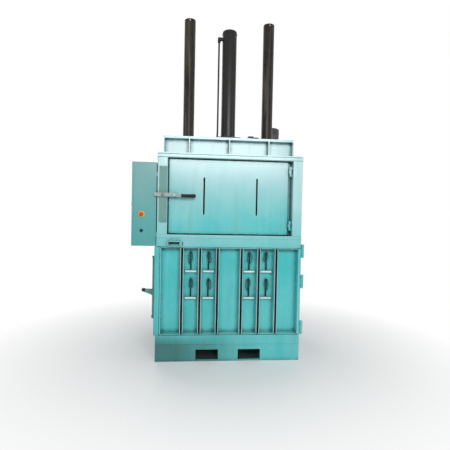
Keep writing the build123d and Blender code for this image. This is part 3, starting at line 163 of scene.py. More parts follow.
# Places and sizes on the machine, the frame first, then the doors, the pins and the control box.
# A level is a height above the floor, a place is along X, and a drop is down from the top of the
# control box's door. What lies on a node's face is read from that node's box.
up = (0, 0, 1)
sides = (-1, 1)
half_width = 0.69
sheet = 0.008
bead_stop = 0.012
rib_levels = (0.34, 0.56, 0.78, 1.0, 1.32, 1.64, 1.86)
rib_half = 0.045
head_rib_places = (-0.65, -0.4, 0.0, 0.4, 0.65)
guide_places = (-0.415, 0.415)
guide_radius = 0.05715
barrel_radius = 0.075
rod_radius = 0.04
platen_rail_faces = (-0.155, -0.145, 0.145, 0.155)
flange_thickness = 0.014
flange_bolt_circle = 0.0722
cowl_radius = 0.098
# The strap slots between the lower door's channels
slot_places = (-0.45, -0.281, -0.114, 0.114, 0.281, 0.45)
slot_half = 0.007
lower_hinge_levels = (0.262, 0.706, 0.998)
hinge_arm_edges = (0.0, 0.03, 0.084, 0.12)
hinge_leaf_edges = (0.031, 0.083)
upper_hinge_levels = (1.255, 1.775)
keeper_levels = (0.43, 0.93)
keeper_half = 0.028
staple_y = -0.379
staple_half = 0.0115
staple_wire = 0.0032
duct_drops = (0.085, 0.295, 0.505)
terminal_drop = 0.60
# Each row of gear: its drop and the widths of its devices
gear_rows = ((0.19, (0.054, 0.045, 0.045, 0.072)), (0.40, (0.090, 0.045, 0.045, 0.036, 0.036)))

wall_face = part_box("side_walls")[1].x
wall_middle = (wall_face * 2 - sheet) / 2
rear_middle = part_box("rear_wall")[0].y + sheet / 2
post_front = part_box("corner_posts")[0].y
flange_tops = [
    z + flange_thickness for z in (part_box("cylinder_flange")[0].z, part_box("roof_plate")[1].z)
]
lip_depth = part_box("lower_door_frame")[0].y + 0.004
stile_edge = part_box("lower_door_frame")[0].x + 0.055
right_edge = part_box("lower_door_frame")[1].x - 0.018
channel_starts = (stile_edge, *[place + slot_half for place in slot_places])
channel_ends = (*[place - slot_half for place in slot_places], right_edge)
pin_boxes = [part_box(f"strap_pin_{number}") for number in range(1, 9)]
# Between which heights the strap pins' cross handles lie, for each of their two rows
handle_spans = sorted(
    {(round(low.z - 0.002, 3), round(low.z + 0.022, 3)) for low, high in pin_boxes}
)
staple_places = [((low.x + high.x) / 2, low.z + 0.1975) for low, high in pin_boxes]
collar_middle = sum(corner.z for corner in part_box("button_collars")) / 2
grip_y = sum(corner.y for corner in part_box("latch_grip")) / 2


class Value:
    """What a node gives. Sums and mixes with it place the nodes for them in its tree."""

    def __init__(self, tree, socket):
        self.tree = tree
        self.socket = socket

    def maths(self, operation, *terms):
        """A Math node."""
        node = place_node(
            self.tree, "ShaderNodeMath", dict(enumerate(terms)), operation=operation
        )
        return Value(self.tree, node.outputs[0])

    def __add__(self, other):
        return self.maths("ADD", self, other)

    def __sub__(self, other):
        return self.maths("SUBTRACT", self, other)

    def __rsub__(self, other):
        return self.maths("SUBTRACT", other, self)

    def __mul__(self, other):
        return self.maths("MULTIPLY", self, other)

    def __lt__(self, other):
        return self.maths("LESS_THAN", self, other)

    def __gt__(self, other):
        return self.maths("GREATER_THAN", self, other)

    def __abs__(self):
        return self.maths("ABSOLUTE", self)

    def most(self, other):
        """The greater of two."""
        return self.maths("MAXIMUM", self, other)

    def held(self):
        """The same sum, held between 0 and 1."""
        self.socket.node.use_clamp = True
        return self

    def stretch(self, low, high, to_low=0.0, to_high=1.0):
        """Mapped from one span to another and held at its ends."""
        spans = {"From Min": low, "From Max": high, "To Min": to_low, "To Max": to_high}
        node = place_node(self.tree, "ShaderNodeMapRange", {"Value": self, **spans})
        return Value(self.tree, node.outputs[0])

    def blend(self, other, share, mode="MIX"):
        """Mixed with another value or colour by a share."""
        kind, first, result = ("RGBA", 6, 2) if self.socket.type == "RGBA" else ("FLOAT", 2, 0)
        node = place_node(
            self.tree, "ShaderNodeMix", {0: share, first: self, first + 1: other},
            data_type=kind, blend_type=mode,
        )
        return Value(self.tree, node.outputs[result])


def feed(tree, socket, value):
    """Link a value, or a node's first output, to an input, or write a plain value on it."""
    if isinstance(value, bpy.types.Node):
        value = value.outputs[0]
    value = getattr(value, "socket", value)
    if isinstance(value, bpy.types.NodeSocket):
        tree.links.new(value, socket)
    else:
        socket.default_value = value


def place_node(tree, kind, inputs=None, **settings):
    """Add a node, set its properties and feed its inputs by name or by number."""
    node = tree.nodes.new(kind)
    for name, value in settings.items():
        setattr(node, name, value)
    for name, value in (inputs or {}).items():
        feed(tree, node.inputs[name], value)
    return node


def socket_kind(value):
    """The kind of socket that holds a value."""
    if isinstance(value, tuple):
        return "NodeSocketColor" if len(value) == 4 else "NodeSocketVector"
    return "NodeSocketInt" if isinstance(value, int) else "NodeSocketFloat"


def new_tree(name, kind, inputs):
    """Start a node tree with named inputs, each with a value or a kind; gives tree and inputs."""
    tree = bpy.data.node_groups.new(name, kind)
    for label, value in inputs.items():
        given = isinstance(value, str)
        socket = tree.interface.new_socket(
            label, in_out="INPUT", socket_type=value if given else socket_kind(value)
        )
        if not given:
            socket.default_value = value
    source = tree.nodes.new("NodeGroupInput")
    return tree, {socket.name: Value(tree, socket) for socket in source.outputs if socket.name}


def close_group(tree, **results):
    """End a shader node group with its named outputs; gives the tree."""
    for label, value in results.items():
        kind = "NodeSocketColor" if value.socket.type == "RGBA" else "NodeSocketFloat"
        tree.interface.new_socket(label, in_out="OUTPUT", socket_type=kind)
    place_node(tree, "NodeGroupOutput", results)
    return tree


def noise_on(tree, scale, stretch_by=(1, 1, 1), detail=3.0, rough=0.55):
    """Noise over the object's own coordinates, drawn out along an axis."""
    place = tree.nodes.new("ShaderNodeTexCoord").outputs["Object"]
    drawn = place_node(tree, "ShaderNodeMapping", {"Vector": place, "Scale": stretch_by})
    noise = place_node(
        tree, "ShaderNodeTexNoise",
        {"Vector": drawn, "Scale": scale, "Detail": detail, "Roughness": rough},
    )
    return Value(tree, noise.outputs["Fac"])


def coordinates(tree):
    """The object's own X, Y and Z."""
    place = tree.nodes.new("ShaderNodeTexCoord").outputs["Object"]
    split = place_node(tree, "ShaderNodeSeparateXYZ", {0: place})
    return [Value(tree, socket) for socket in split.outputs]


def corner_group():
    """Masks of the outer edges and of the inner corners of a piece."""
    tree, given = new_tree(
        "Edges and Corners", "ShaderNodeTree",
        {"Edge Radius": 0.004, "Corner Reach": 0.045, "Corner Full": 0.28},
    )
    rounded = place_node(tree, "ShaderNodeBevel", {"Radius": given["Edge Radius"]}, samples=4)
    flat = tree.nodes.new("ShaderNodeNewGeometry").outputs["Normal"]
    dot = place_node(
        tree, "ShaderNodeVectorMath", {0: rounded, 1: flat}, operation="DOT_PRODUCT"
    )
    bent = Value(tree, dot.outputs["Value"]).stretch(0.995, 0.86)
    crevice = place_node(
        tree, "ShaderNodeAmbientOcclusion", {"Distance": given["Corner Reach"]}, samples=4
    )
    open_sky = Value(tree, crevice.outputs["AO"])
    return close_group(
        tree, Edge=bent * open_sky.stretch(0.5, 0.8),
        Corner=open_sky.stretch(0.84, given["Corner Full"]),
    )


def enamel_group(corners):
    """Sprayed enamel: chalked, run and rusted at its edges; paler high up and along its edges as
    painted light; darker in corners and low on the left as painted shade, with dirt in the runs.
    """
    tree, given = new_tree(
        "Workshop Enamel", "ShaderNodeTree",
        {
            "Paint": (0.1, 0.5, 0.5, 1), "Chalked": (0.2, 0.6, 0.6, 1),
            "Painted Light": (0.5, 0.7, 0.7, 1), "Soil and Shade Colour": (0.05, 0.07, 0.07, 1),
            "Bare": (0.2, 0.12, 0.08, 1), "Gloss": 0.3, "Painted Light Amount": 0.0,
            "Painted Light From": 1.30, "Painted Light At": 1.98, "Low Left Shade": 0.0, "Edge Highlight": 0.0, "Wear": 0.5,
            "Soil and Shade Amount": 0.5, "Edge Radius": 0.004, "Corner Full": 0.28,
        },
    )
    masks = place_node(
        tree, "ShaderNodeGroup",
        {label: given[label] for label in ("Edge Radius", "Corner Full")}, node_tree=corners,
    )
    edge, corner = [Value(tree, socket) for socket in masks.outputs]
    x, y, z = coordinates(tree)
    clouds = noise_on(tree, 1.7, (1, 1, 0.8), 4.0, 0.6)
    runs = noise_on(tree, 9.0, (1, 1, 0.09), 4.0, 0.6)
    blots = noise_on(tree, 22.0, (1, 1, 1), 5.0, 0.65)
    chips = noise_on(tree, 120.0, (1, 1, 1), 4.0, 0.6)
    peel = noise_on(tree, 260.0, (1, 1, 1), 2.0, 0.5)
    waves = noise_on(tree, 5.0, (1, 1, 1), 1.0, 0.4)

    chalk = (clouds + runs * 0.7).stretch(0.70, 1.02)
    paint = given["Paint"].blend(given["Chalked"], chalk)
    # Painted light: the enamel turns paler with height, standing in for the light on the upper
    # parts
    height = z + (clouds - 0.5) * 0.5
    painted_light_mask = height.stretch(given["Painted Light From"], given["Painted Light At"])
    paint = paint.blend(given["Painted Light"], (painted_light_mask * given["Painted Light Amount"]).held())
    # Painted highlight: the outer edges turn pale
    paint = paint.blend(given["Painted Light"], (edge * given["Edge Highlight"]).held())

    soiled = runs.stretch(0.56, 0.86) * 0.35
    # Painted shade: inner corners, from the occlusion mask, take the dark colour; the runs add real
    # dirt
    corner = corner * blots.stretch(0.15, 0.55)
    soil_and_shade = (corner.most(soiled) * given["Soil and Shade Amount"]).held()
    # Painted shade: the enamel is darker low down on the left
    low = (z + clouds * 0.1).stretch(0.34, 0.20)
    left = (x + clouds * 0.4).stretch(0.55, -0.30)
    low_left_shade = low * left * given["Low Left Shade"]
    shaded_paint = paint.blend((0.42, 0.34, 0.33, 1), 1.0, "MULTIPLY")
    paint = paint.blend(shaded_paint, low_left_shade).blend(given["Soil and Shade Colour"], soil_and_shade)

    scuffs = edge + chips * 0.9
    limit = 1.88 - given["Wear"]
    bare = scuffs.stretch(limit, limit + 0.08)
    rough = given["Gloss"] + soil_and_shade * 0.35 + (blots + low_left_shade) * 0.08 + bare * 0.2
    return close_group(
        tree, Colour=paint.blend(given["Bare"], bare), Roughness=rough.held(),
        Height=peel * 0.25 + waves * 1.6 - bare * 0.3,
    )


def rubbed_group():
    """Bare or plated metal, rubber or plastic: fine lines along Z, smears and a few dark spots."""
    tree, given = new_tree(
        "Rubbed Metal", "ShaderNodeTree",
        {
            "Metal": (0.6, 0.6, 0.6, 1), "Stain": (0.1, 0.08, 0.06, 1), "Gloss": 0.3,
            "Stains": 0.4, "Streaks": 0.0,
        },
    )
    lines = noise_on(tree, 90.0, (1, 1, 0.03), 4.0, 0.7)
    smears = noise_on(tree, 14.0, (1, 1, 0.35), 5.0, 0.65)
    # Streaks along Z: pale on the greased tubes, as grease and as painted highlight
    grease_and_sheen_streaks = noise_on(tree, 34.0, (1, 1, 0.045), 4.0, 0.6).stretch(0.50, 0.66)
    stain = (smears.stretch(0.42, 0.74) * given["Stains"]).held()
    stain = stain.most(grease_and_sheen_streaks * given["Streaks"])
    metal = given["Metal"].blend(given["Stain"], stain)
    rough = given["Gloss"] + smears * 0.22 + stain * 0.2
    return close_group(
        tree, Colour=metal.blend(lines.stretch(0.3, 0.7, 0.82, 1.12), 1.0, "MULTIPLY"),
        Roughness=rough.held(), Height=lines * 0.5 + stain,
    )


def dressed(tree, group, values):
    """Put a shared group in a material with its own values; gives its outputs by name."""
    node = place_node(tree, "ShaderNodeGroup", node_tree=group)
    for label, value in values.items():
        node.inputs[label].default_value = (*value[:3], 1.0) if hasattr(value, "__len__") else value
    return {socket.name: Value(tree, socket) for socket in node.outputs}


def make_finish(
    name, first, second=None, where=None, painted_shade=None, metallic=0.0, coat=0.0, specular=0.5
):
    """A material of one shared finish, or of two that a mask parts, perhaps under a dark painted
    shade.
    """
    material = bpy.data.materials.new(name)
    material.use_nodes = True
    tree = material.node_tree
    given = dressed(tree, *first)
    if second:
        other, mask = dressed(tree, *second), where(tree)
        given = {label: value.blend(other[label], mask) for label, value in given.items()}
        metallic = mask.stretch(0, 1, *metallic)
    if painted_shade:
        given["Colour"] = given["Colour"].blend(painted_shade[1], painted_shade[0](tree))
    relief = place_node(
        tree, "ShaderNodeBump", {"Distance": 0.0004, "Strength": 1.0, "Height": given["Height"]}
    )
    sockets = {
        "Base Color": given["Colour"], "Roughness": given["Roughness"], "Metallic": metallic,
        "Normal": relief, "Coat Weight": coat, "Coat Roughness": 0.16,
        "Specular IOR Level": specular,
    }
    for label, value in sockets.items():
        feed(tree, tree.nodes["Principled BSDF"].inputs[label], value)


def above(height, blur=0.001):
    """A mask of what lies above a height."""
    return lambda tree: coordinates(tree)[2].stretch(height - blur, height + blur)


def slot_distance(x):
    """How far a point is to the side of the nearest strap slot."""
    nearest = abs(x - slot_places[0])
    for place in slot_places[1:]:
        nearest = nearest.maths("MINIMUM", nearest, abs(x - place))
    return nearest


def channel_lips(tree):
    """A mask of the channels' front lips beside the strap slots, in patches, painted pale as
    highlight.
    """
    x, y, z = coordinates(tree)
    aside = slot_distance(x)
    lip = aside.stretch(0.017, 0.0158) * aside.stretch(0.0104, 0.0112)
    patchy = noise_on(tree, 16.0, (1, 1, 0.3)).stretch(0.25, 0.6, 0.45, 1.0)
    return lip * (y < lip_depth) * patchy


def slot_flanks(tree):
    """A mask of the slots' flanks and the lips' inner half, painted near black as shade."""
    x, y, z = coordinates(tree)
    reach = noise_on(tree, 30.0, (1, 1, 0.2)).stretch(0.3, 0.7, 0.0098, 0.0118)
    return (slot_distance(x) < reach) * 0.94


def shank_and_chain(tree):
    """A mask of a strap pin's shank, painted dark as shade, and of its dark links; its cross handle
    stays bright.
    """
    z = coordinates(tree)[2]
    upper, lower = [(z < low).most(z > high) for low, high in handle_spans]
    return upper * lower


def chamber_side(tree):
    """A mask of the wall faces that look into the chamber, rubbed bare by what is pressed there and
    painted dark as shade.
    """
    x, y, z = coordinates(tree)
    return (abs(x) < wall_middle) * (y < rear_middle)


# The finish of each material slot, and what else is finished like what the slot names
finish_of_slot = {
    "teal_paint": "Teal enamel",
    "dull_green": "Cover enamel",
    "black_paint": "Black enamel",
    "greased_steel": "Greased tube",
    "bright_steel": "Zinc plate",
    "chrome_rod": "Chromed rod",
    "bronze": "Bronze",
    "motor_grey": "Motor enamel",
    "black_rubber": "Rubber",
    "stop_red": "Red plastic",
    "stop_yellow": "Collar plastic",
    "black_plastic": "Black plastic",
    "gear_grey": "Grey plastic",
}
nodes_of_finish = {
    "Box enamel": "control_box control_door",
    "Pocket enamel": "fork_pockets",
    "Chamber wall": "side_walls rear_wall chamber_floor",
    "Beam enamel": "mid_beam upper_posts band_loop",
    "Door enamel": "upper_door_panel",
    "Head enamel": "head_beams head_ribs head_top_plate",
    "Channel enamel": "door_channels",
    "Cover enamel": "lock_shaft lock_lever lock_brackets",
    "Worn steel": "platen_plate",
    "Dull zinc": "latch_arm control_lock",
    "Black enamel": "pipe_fittings flange_bolts valve_block",
    "Strap pin": " ".join(f"strap_pin_{number}" for number in range(1, 9)),
}


class BALER_OT_finishes(bpy.types.Operator):
    """Give every construction node its enamel, metal, rubber or plastic"""

    bl_idname = "baler.finishes"
    bl_label = "Finishes"

    def execute(self, context):
        paint = context.scene.baler_paint
        enamel, rubbed = enamel_group(corner_group()), rubbed_group()
        self.make_enamels(paint, enamel, rubbed)
        self.make_metals(paint, rubbed)
        self.make_plastics(paint, rubbed)
        finish_of_node = {
            node: finish for finish, nodes in nodes_of_finish.items() for node in nodes.split()
        }
        for entry in frame["record"]["subparts"]:
            node = entry["node"]
            finish = finish_of_node.get(node, finish_of_slot[entry["material_slot"]])
            for place in frame["nodes"][node].material_slots:
                place.material = bpy.data.materials[finish]
        return {"FINISHED"}

    def make_enamels(self, paint, enamel, rubbed):
        """The sprayed finishes, and the chamber's walls, which are rubbed bare inside."""
        body = {"Soil and Shade Colour": paint.soil_and_shade_colour, "Bare": paint.rust, "Gloss": 0.28, "Painted Light": paint.painted_light_teal}
        # Painted light and shade on the body enamel: paler high up and along its edges, darker in
        # its corners and low on the left
        teal = {
            **body, "Paint": paint.teal, "Chalked": paint.teal_pale, "Painted Light Amount": 0.95,
            "Wear": 0.30, "Low Left Shade": 1.0, "Edge Highlight": 0.75, "Soil and Shade Amount": 0.9, "Edge Radius": 0.007,
            "Corner Full": 0.42,
        }
        # Painted highlight: pale enamel on the channels' lips
        lip_highlight = {
            **teal, "Paint": (0.50, 0.78, 0.78), "Chalked": (0.62, 0.84, 0.84), "Low Left Shade": 0.3,
            "Soil and Shade Amount": 0.35, "Wear": 0.2,
        }
        # Painted light: a lighter copy of the teal for the lower door's channels
        channel = {**teal, "Paint": (0.055, 0.55, 0.56), "Chalked": (0.13, 0.64, 0.65)}
        # Painted light: paler from lower down on the beam, the upper posts and the loop
        beam = {**teal, "Painted Light From": 0.92, "Painted Light At": 1.50, "Painted Light Amount": 0.85}
        # Painted light: paler high up on the upper door's panel
        panel = {**teal, "Painted Light": (0.46, 0.57, 0.60), "Painted Light Amount": 0.74}
        # Painted shade: darker, wider corners on the head under its flanges and by its ribs, with a
        # weaker painted edge highlight
        head = {**teal, "Soil and Shade Amount": 1.0, "Corner Full": 0.60, "Edge Highlight": 0.3}
        weld = {
            **teal, "Chalked": paint.teal, "Wear": 0.42, "Soil and Shade Amount": 0.8, "Edge Radius": 0.001,
        }
        # Painted light: the control box is paler high up too
        box = {
            **body, "Paint": paint.box_teal, "Chalked": (0.085, 0.38, 0.375), "Gloss": 0.36,
            "Painted Light": (0.19, 0.37, 0.36), "Painted Light Amount": 0.8, "Wear": 0.2, "Soil and Shade Amount": 0.4,
        }
        cover = {
            **body, "Paint": paint.cover_green, "Chalked": (0.17, 0.33, 0.30), "Gloss": 0.42,
            "Wear": 0.4,
        }
        pocket = {
            **body, "Paint": (0.010, 0.035, 0.036), "Chalked": (0.03, 0.07, 0.07), "Gloss": 0.5,
            "Wear": 0.75, "Soil and Shade Amount": 1.0, "Bare": paint.steel,
        }
        black = {
            **body, "Paint": paint.black, "Chalked": (0.022, 0.021, 0.020), "Gloss": 0.26,
            "Wear": 0.3,
        }
        grey = {**body, "Paint": paint.motor, "Chalked": (0.16, 0.17, 0.18), "Gloss": 0.42}
        # Painted shade: the bare steel inside the chamber is darkened so that the slots look black
        shaded_bare_steel = {
            "Metal": (0.06, 0.055, 0.05), "Stain": (0.03, 0.022, 0.018), "Gloss": 0.32,
            "Stains": 0.75,
        }
        make_finish("Teal enamel", (enamel, teal), coat=0.6)
        make_finish("Beam enamel", (enamel, beam), coat=0.6)
        make_finish("Door enamel", (enamel, panel), coat=0.6)
        make_finish("Head enamel", (enamel, head), coat=0.5)
        make_finish("Weld bead", (enamel, weld), coat=0.6)
        make_finish("Box enamel", (enamel, box), coat=0.4)
        make_finish("Cover enamel", (enamel, cover))
        make_finish("Pocket enamel", (enamel, pocket))
        make_finish("Black enamel", (enamel, black), specular=0.24)
        # Painted highlight on the lips beside the slots, painted shade on the slots' flanks
        make_finish(
            "Channel enamel", (enamel, channel), (enamel, lip_highlight), channel_lips,
            painted_shade=(slot_flanks, (0.006, 0.010, 0.011, 1)), metallic=(0.0, 0.0), coat=0.4,
        )
        cowl_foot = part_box("pump_motor")[1].z - 0.0573
        make_finish(
            "Motor enamel", (enamel, grey), (enamel, {**black, "Gloss": 0.35}),
            above(cowl_foot), metallic=(0.0, 0.0),
        )
        make_finish(
            "Chamber wall", (enamel, teal), (rubbed, shaded_bare_steel), chamber_side,
            metallic=(0.0, 0.4), coat=0.1,
        )

    def make_metals(self, paint, rubbed):
        """The tubes, the plated and bare metals and the grease."""
        zinc = {"Metal": paint.zinc, "Stain": (0.30, 0.32, 0.30), "Gloss": 0.34}
        links = {
            "Metal": paint.chain, "Stain": (0.03, 0.035, 0.033), "Gloss": 0.4, "Stains": 0.6,
        }
        make_finish("Zinc plate", (rubbed, zinc), metallic=0.75)
        make_finish("Dark chain", (rubbed, links), metallic=0.3, specular=0.3)
        # Painted shade: the strap pins' shanks take the dark links' finish
        make_finish(
            "Strap pin", (rubbed, zinc), (rubbed, links), shank_and_chain, metallic=(0.15, 0.3)
        )
        brown = (0.1, 0.08, 0.06)
        metals = {
            # Paler streaks on the greased tubes: grease, and partly a painted highlight
            "Greased tube": (
                paint.grease, (0.105, 0.085, 0.060), 0.24, 0.35, 0.85, {"specular": 0.22},
            ),
            "Dull zinc": (paint.dull_zinc, (0.16, 0.2, 0.19), 0.48, 0.4, 0.0, {"metallic": 0.6}),
            "Worn steel": (paint.steel, (0.07, 0.05, 0.04), 0.32, 0.75, 0.0, {"metallic": 0.85}),
            "Chromed rod": ((0.72, 0.72, 0.73), brown, 0.06, 0.1, 0.0, {"metallic": 1.0}),
            "Bronze": (paint.bronze, brown, 0.25, 0.4, 0.0, {"metallic": 1.0}),
            "Grease": ((0.02, 0.015, 0.008), (0.05, 0.03, 0.01), 0.1, 0.4, 0.0, {}),
            "Sight glass": ((0.32, 0.16, 0.03), brown, 0.05, 0.1, 0.0, {"coat": 1.0}),
        }
        for name, (metal, stain, gloss, stains, grease_and_sheen_streaks, shine) in metals.items():
            values = {
                "Metal": metal, "Stain": stain, "Gloss": gloss, "Stains": stains,
                "Streaks": grease_and_sheen_streaks,
            }
            make_finish(name, (rubbed, values), **shine)

    def make_plastics(self, paint, rubbed):
        """The buttons, the gear in the control box and the rubber."""
        plastic = {"Stain": (0.1, 0.09, 0.08), "Stains": 0.15}
        dark = {"Metal": (0.012, 0.013, 0.014), "Stain": (0.03, 0.03, 0.03), "Stains": 0.2}
        yellow = {**plastic, "Metal": paint.stop_yellow}
        red = {**plastic, "Metal": paint.stop_red, "Gloss": 0.2}
        make_finish("Red plastic", (rubbed, red))
        make_finish("Grey plastic", (rubbed, {**plastic, "Metal": (0.3, 0.31, 0.32)}))
        make_finish("Pale plastic", (rubbed, {**plastic, "Metal": (0.52, 0.53, 0.52)}))
        make_finish("Black plastic", (rubbed, dark), specular=0.3)
        make_finish("Rubber", (rubbed, {**dark, "Gloss": 0.5}), specular=0.3)
        make_finish(
            "Collar plastic", (rubbed, dark), (rubbed, yellow), above(collar_middle),
            metallic=(0.0, 0.0),
        )


def geometry_tree(name, **sizes):
    """Start a Geometry Nodes tree that turns loose lines or points into a finished shape."""
    inputs = {"Geometry": "NodeSocketGeometry", **sizes, "Finish": "NodeSocketMaterial"}
    return new_tree(name, "GeometryNodeTree", inputs)


def close_tree(tree, given, shape, smooth=True):
    """End a Geometry Nodes tree: real meshes, shading and finish."""
    tree.interface.new_socket("Geometry", in_out="OUTPUT", socket_type="NodeSocketGeometry")
    for kind, inputs in (
        ("GeometryNodeRealizeInstances", {}),
        ("GeometryNodeSetShadeSmooth", {"Shade Smooth": smooth}),
        ("GeometryNodeSetMaterial", {"Material": given["Finish"]}),
        ("NodeGroupOutput", {}),
    ):
        shape = place_node(tree, kind, {0: shape, **inputs})
    return tree


def curve_of(tree, given):
    """The source's lines as curves."""
    return place_node(tree, "GeometryNodeMeshToCurve", {0: given["Geometry"]})


def spaced(tree, given, line):
    """Points at an even pitch along curves."""
    return place_node(
        tree, "GeometryNodeResampleCurve", {"Curve": line, "Length": given["Pitch"]},
        mode="LENGTH",
    )


def circle(tree, radius, sides):
    """A round curve."""
    return place_node(
        tree, "GeometryNodeCurvePrimitiveCircle", {"Resolution": sides, "Radius": radius},
        mode="RADIUS",
    )


def tube(tree, path, radius, sides, capped=False):
    """Round wire along a curve."""
    return place_node(
        tree, "GeometryNodeCurveToMesh",
        {"Curve": path, "Profile Curve": circle(tree, radius, sides), "Fill Caps": capped},
    )


def scattered(tree, points, shape, **placing):
    """A shape on each point."""
    return place_node(
        tree, "GeometryNodeInstanceOnPoints", {"Points": points, "Instance": shape, **placing}
    )


def random_vector(tree, given, low, high):
    """A random vector for each instance, between two vectors."""
    return place_node(
        tree, "FunctionNodeRandomValue", {0: low, 1: high, "Seed": given["Seed"]},
        data_type="FLOAT_VECTOR",
    )


def turned(tree, direction, axis="X", roll=None):
    """A rotation that turns an axis of each instance along a direction, then rolls it."""
    facing = place_node(
        tree, "FunctionNodeAlignRotationToVector", {"Vector": direction}, axis=axis
    )
    if roll is None:
        return facing
    spin = place_node(tree, "FunctionNodeEulerToRotation", {0: roll})
    return place_node(
        tree, "FunctionNodeRotateRotation", {0: facing, 1: spin}, rotation_space="LOCAL"
    )


@cache
def weld_tree():
    """Rippled weld bead along each line: overlapping drops of metal."""
    tree, given = geometry_tree("Weld Bead", Width=0.009, Pitch=0.0066, Seed=3)
    drop = place_node(tree, "GeometryNodeMeshIcoSphere", {"Radius": 0.5, "Subdivisions": 1})
    ripple = random_vector(tree, given, (1.0, 0.84, 0.84), (1.3, 1.12, 1.12))
    size = place_node(
        tree, "ShaderNodeVectorMath", {0: ripple, "Scale": given["Width"]}, operation="SCALE"
    )
    tangent = tree.nodes.new("GeometryNodeInputTangent")
    drops = scattered(
        tree, spaced(tree, given, curve_of(tree, given)), drop, Rotation=turned(tree, tangent),
        Scale=size,
    )
    return close_tree(tree, given, drops)


@cache
def screw_tree():
    """A hexagon head on a washer at each point, facing the way that the point says."""
    tree, given = geometry_tree("Hexagon Screws", Radius=0.0065, Seed=5)
    radius = given["Radius"]
    washer = place_node(
        tree, "GeometryNodeMeshCylinder",
        {"Vertices": 20, "Radius": radius * 1.35, "Depth": radius * 0.36},
    )
    head = place_node(
        tree, "GeometryNodeMeshCylinder",
        {"Vertices": 6, "Radius": radius, "Depth": radius * 1.5},
    )
    crown = place_node(
        tree, "GeometryNodeMeshCone",
        {
            "Vertices": 6, "Radius Top": radius * 0.74, "Radius Bottom": radius,
            "Depth": radius * 0.14,
        },
    )
    lift = place_node(tree, "ShaderNodeCombineXYZ", {"Z": radius * 0.75})
    crown = place_node(
        tree, "GeometryNodeTransform", {"Geometry": crown, "Translation": lift}
    )
    whole = tree.nodes.new("GeometryNodeJoinGeometry")
    for shape in (washer, head, crown):
        feed(tree, whole.inputs[0], shape)
    facing = place_node(
        tree, "GeometryNodeInputNamedAttribute", {"Name": "facing"}, data_type="FLOAT_VECTOR"
    )
    roll = random_vector(tree, given, (0, 0, 0), (0, 0, math.tau))
    screws = scattered(
        tree, given["Geometry"], whole, Rotation=turned(tree, facing, "Z", roll)
    )
    return close_tree(tree, given, screws, smooth=False)


@cache
def wire_tree():
    """Round wire or cord of rubber along each line."""
    tree, given = geometry_tree("Wire", Radius=0.0016, Sides=10)
    wire = tube(tree, curve_of(tree, given), given["Radius"], given["Sides"], capped=True)
    return close_tree(tree, given, wire)


@cache
def chain_tree():
    """Slack chain along each line: oval links, every other one turned across."""
    tree, given = geometry_tree("Slack Chain", Pitch=0.0085, Wire=0.0011, Seed=7)
    bent = place_node(
        tree, "GeometryNodeCurveSplineType", {"Curve": curve_of(tree, given)},
        spline_type="CATMULL_ROM",
    )
    oval = place_node(
        tree, "GeometryNodeTransform",
        {"Geometry": circle(tree, given["Pitch"] * 0.68, 12), "Scale": (1.0, 0.62, 1.0)},
    )
    link = tube(tree, oval, given["Wire"], 6)
    number = Value(tree, tree.nodes.new("GeometryNodeInputIndex").outputs[0])
    across = number.maths("MODULO", number, 2.0) * (math.pi / 2)
    jitter = random_vector(tree, given, (-0.35, -0.12, -0.12), (0.35, 0.12, 0.12))
    roll = place_node(
        tree, "ShaderNodeVectorMath",
        {0: place_node(tree, "ShaderNodeCombineXYZ", {"X": across}), 1: jitter}, operation="ADD",
    )
    tangent = tree.nodes.new("GeometryNodeInputTangent")
    links = scattered(
        tree, spaced(tree, given, bent), link, Rotation=turned(tree, tangent, "X", roll)
    )
    return close_tree(tree, given, links)


@cache
def block_tree():
    """Equal blocks at an even pitch along each line, square to the machine."""
    tree, given = geometry_tree("Row of Blocks", Size=(0.01, 0.01, 0.01), Pitch=0.012)
    block = place_node(tree, "GeometryNodeMeshCube", {"Size": given["Size"]})
    blocks = scattered(tree, spaced(tree, given, curve_of(tree, given)), block)
    return close_tree(tree, given, blocks, smooth=False)


def straight(x, y, z):
    """A line along the axis whose place is given as a pair, its start and its end."""
    pairs = [place if isinstance(place, tuple) else (place, place) for place in (x, y, z)]
    return [*zip(*pairs)]


def ring(centre, radius, axis="Z", count=48):
    """Points round a circle, square to an axis, closed."""
    points = []
    for k in range(count):
        turn = math.tau * k / count
        u, v = radius * math.cos(turn), radius * math.sin(turn)
        shift = {"X": (0, u, v), "Y": (u, 0, v), "Z": (u, v, 0)}[axis]
        points.append(tuple(Vector(centre) + Vector(shift)))
    return points + points[:1]


def rectangle(left, foot, right, top):
    """The corners of a rectangle, closed."""
    return ((left, foot), (right, foot), (right, top), (left, top), (left, foot))


def middle_of(node):
    """The middle of a construction node's box."""
    low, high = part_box(node)
    return (low + high) / 2


def level_way(turn):
    """A level direction, by its angle from +X."""
    return Vector((math.cos(turn), math.sin(turn), 0))


def cowl_centre(rise):
    """A point on the fan cowl's axis, by its height from the motor's top."""
    low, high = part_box("pump_motor")
    return Vector((high.x - cowl_radius, (low.y + high.y) / 2, high.z + rise))


def line_mesh(lines):
    """A mesh of loose lines; a line that ends on its first point is closed."""
    points, edges = [], []
    for line in lines:
        closed = len(line) > 2 and (Vector(line[0]) - Vector(line[-1])).length < 1e-6
        run = line[:-1] if closed else line
        start = len(points)
        points += run
        edges += [(start + k, start + k + 1) for k in range(len(run) - 1)]
        if closed:
            edges.append((start + len(run) - 1, start))
    mesh = bpy.data.meshes.new("lines")
    mesh.from_pydata(points, edges, [])
    return mesh


def point_mesh(places):
    """A mesh of loose points, each with the direction that it faces."""
    mesh = bpy.data.meshes.new("points")
    mesh.from_pydata([point for point, facing in places], [], [])
    facing = mesh.attributes.new("facing", "FLOAT_VECTOR", "POINT")
    for entry, (point, direction) in zip(facing.data, places):
        entry.vector = direction
    return mesh


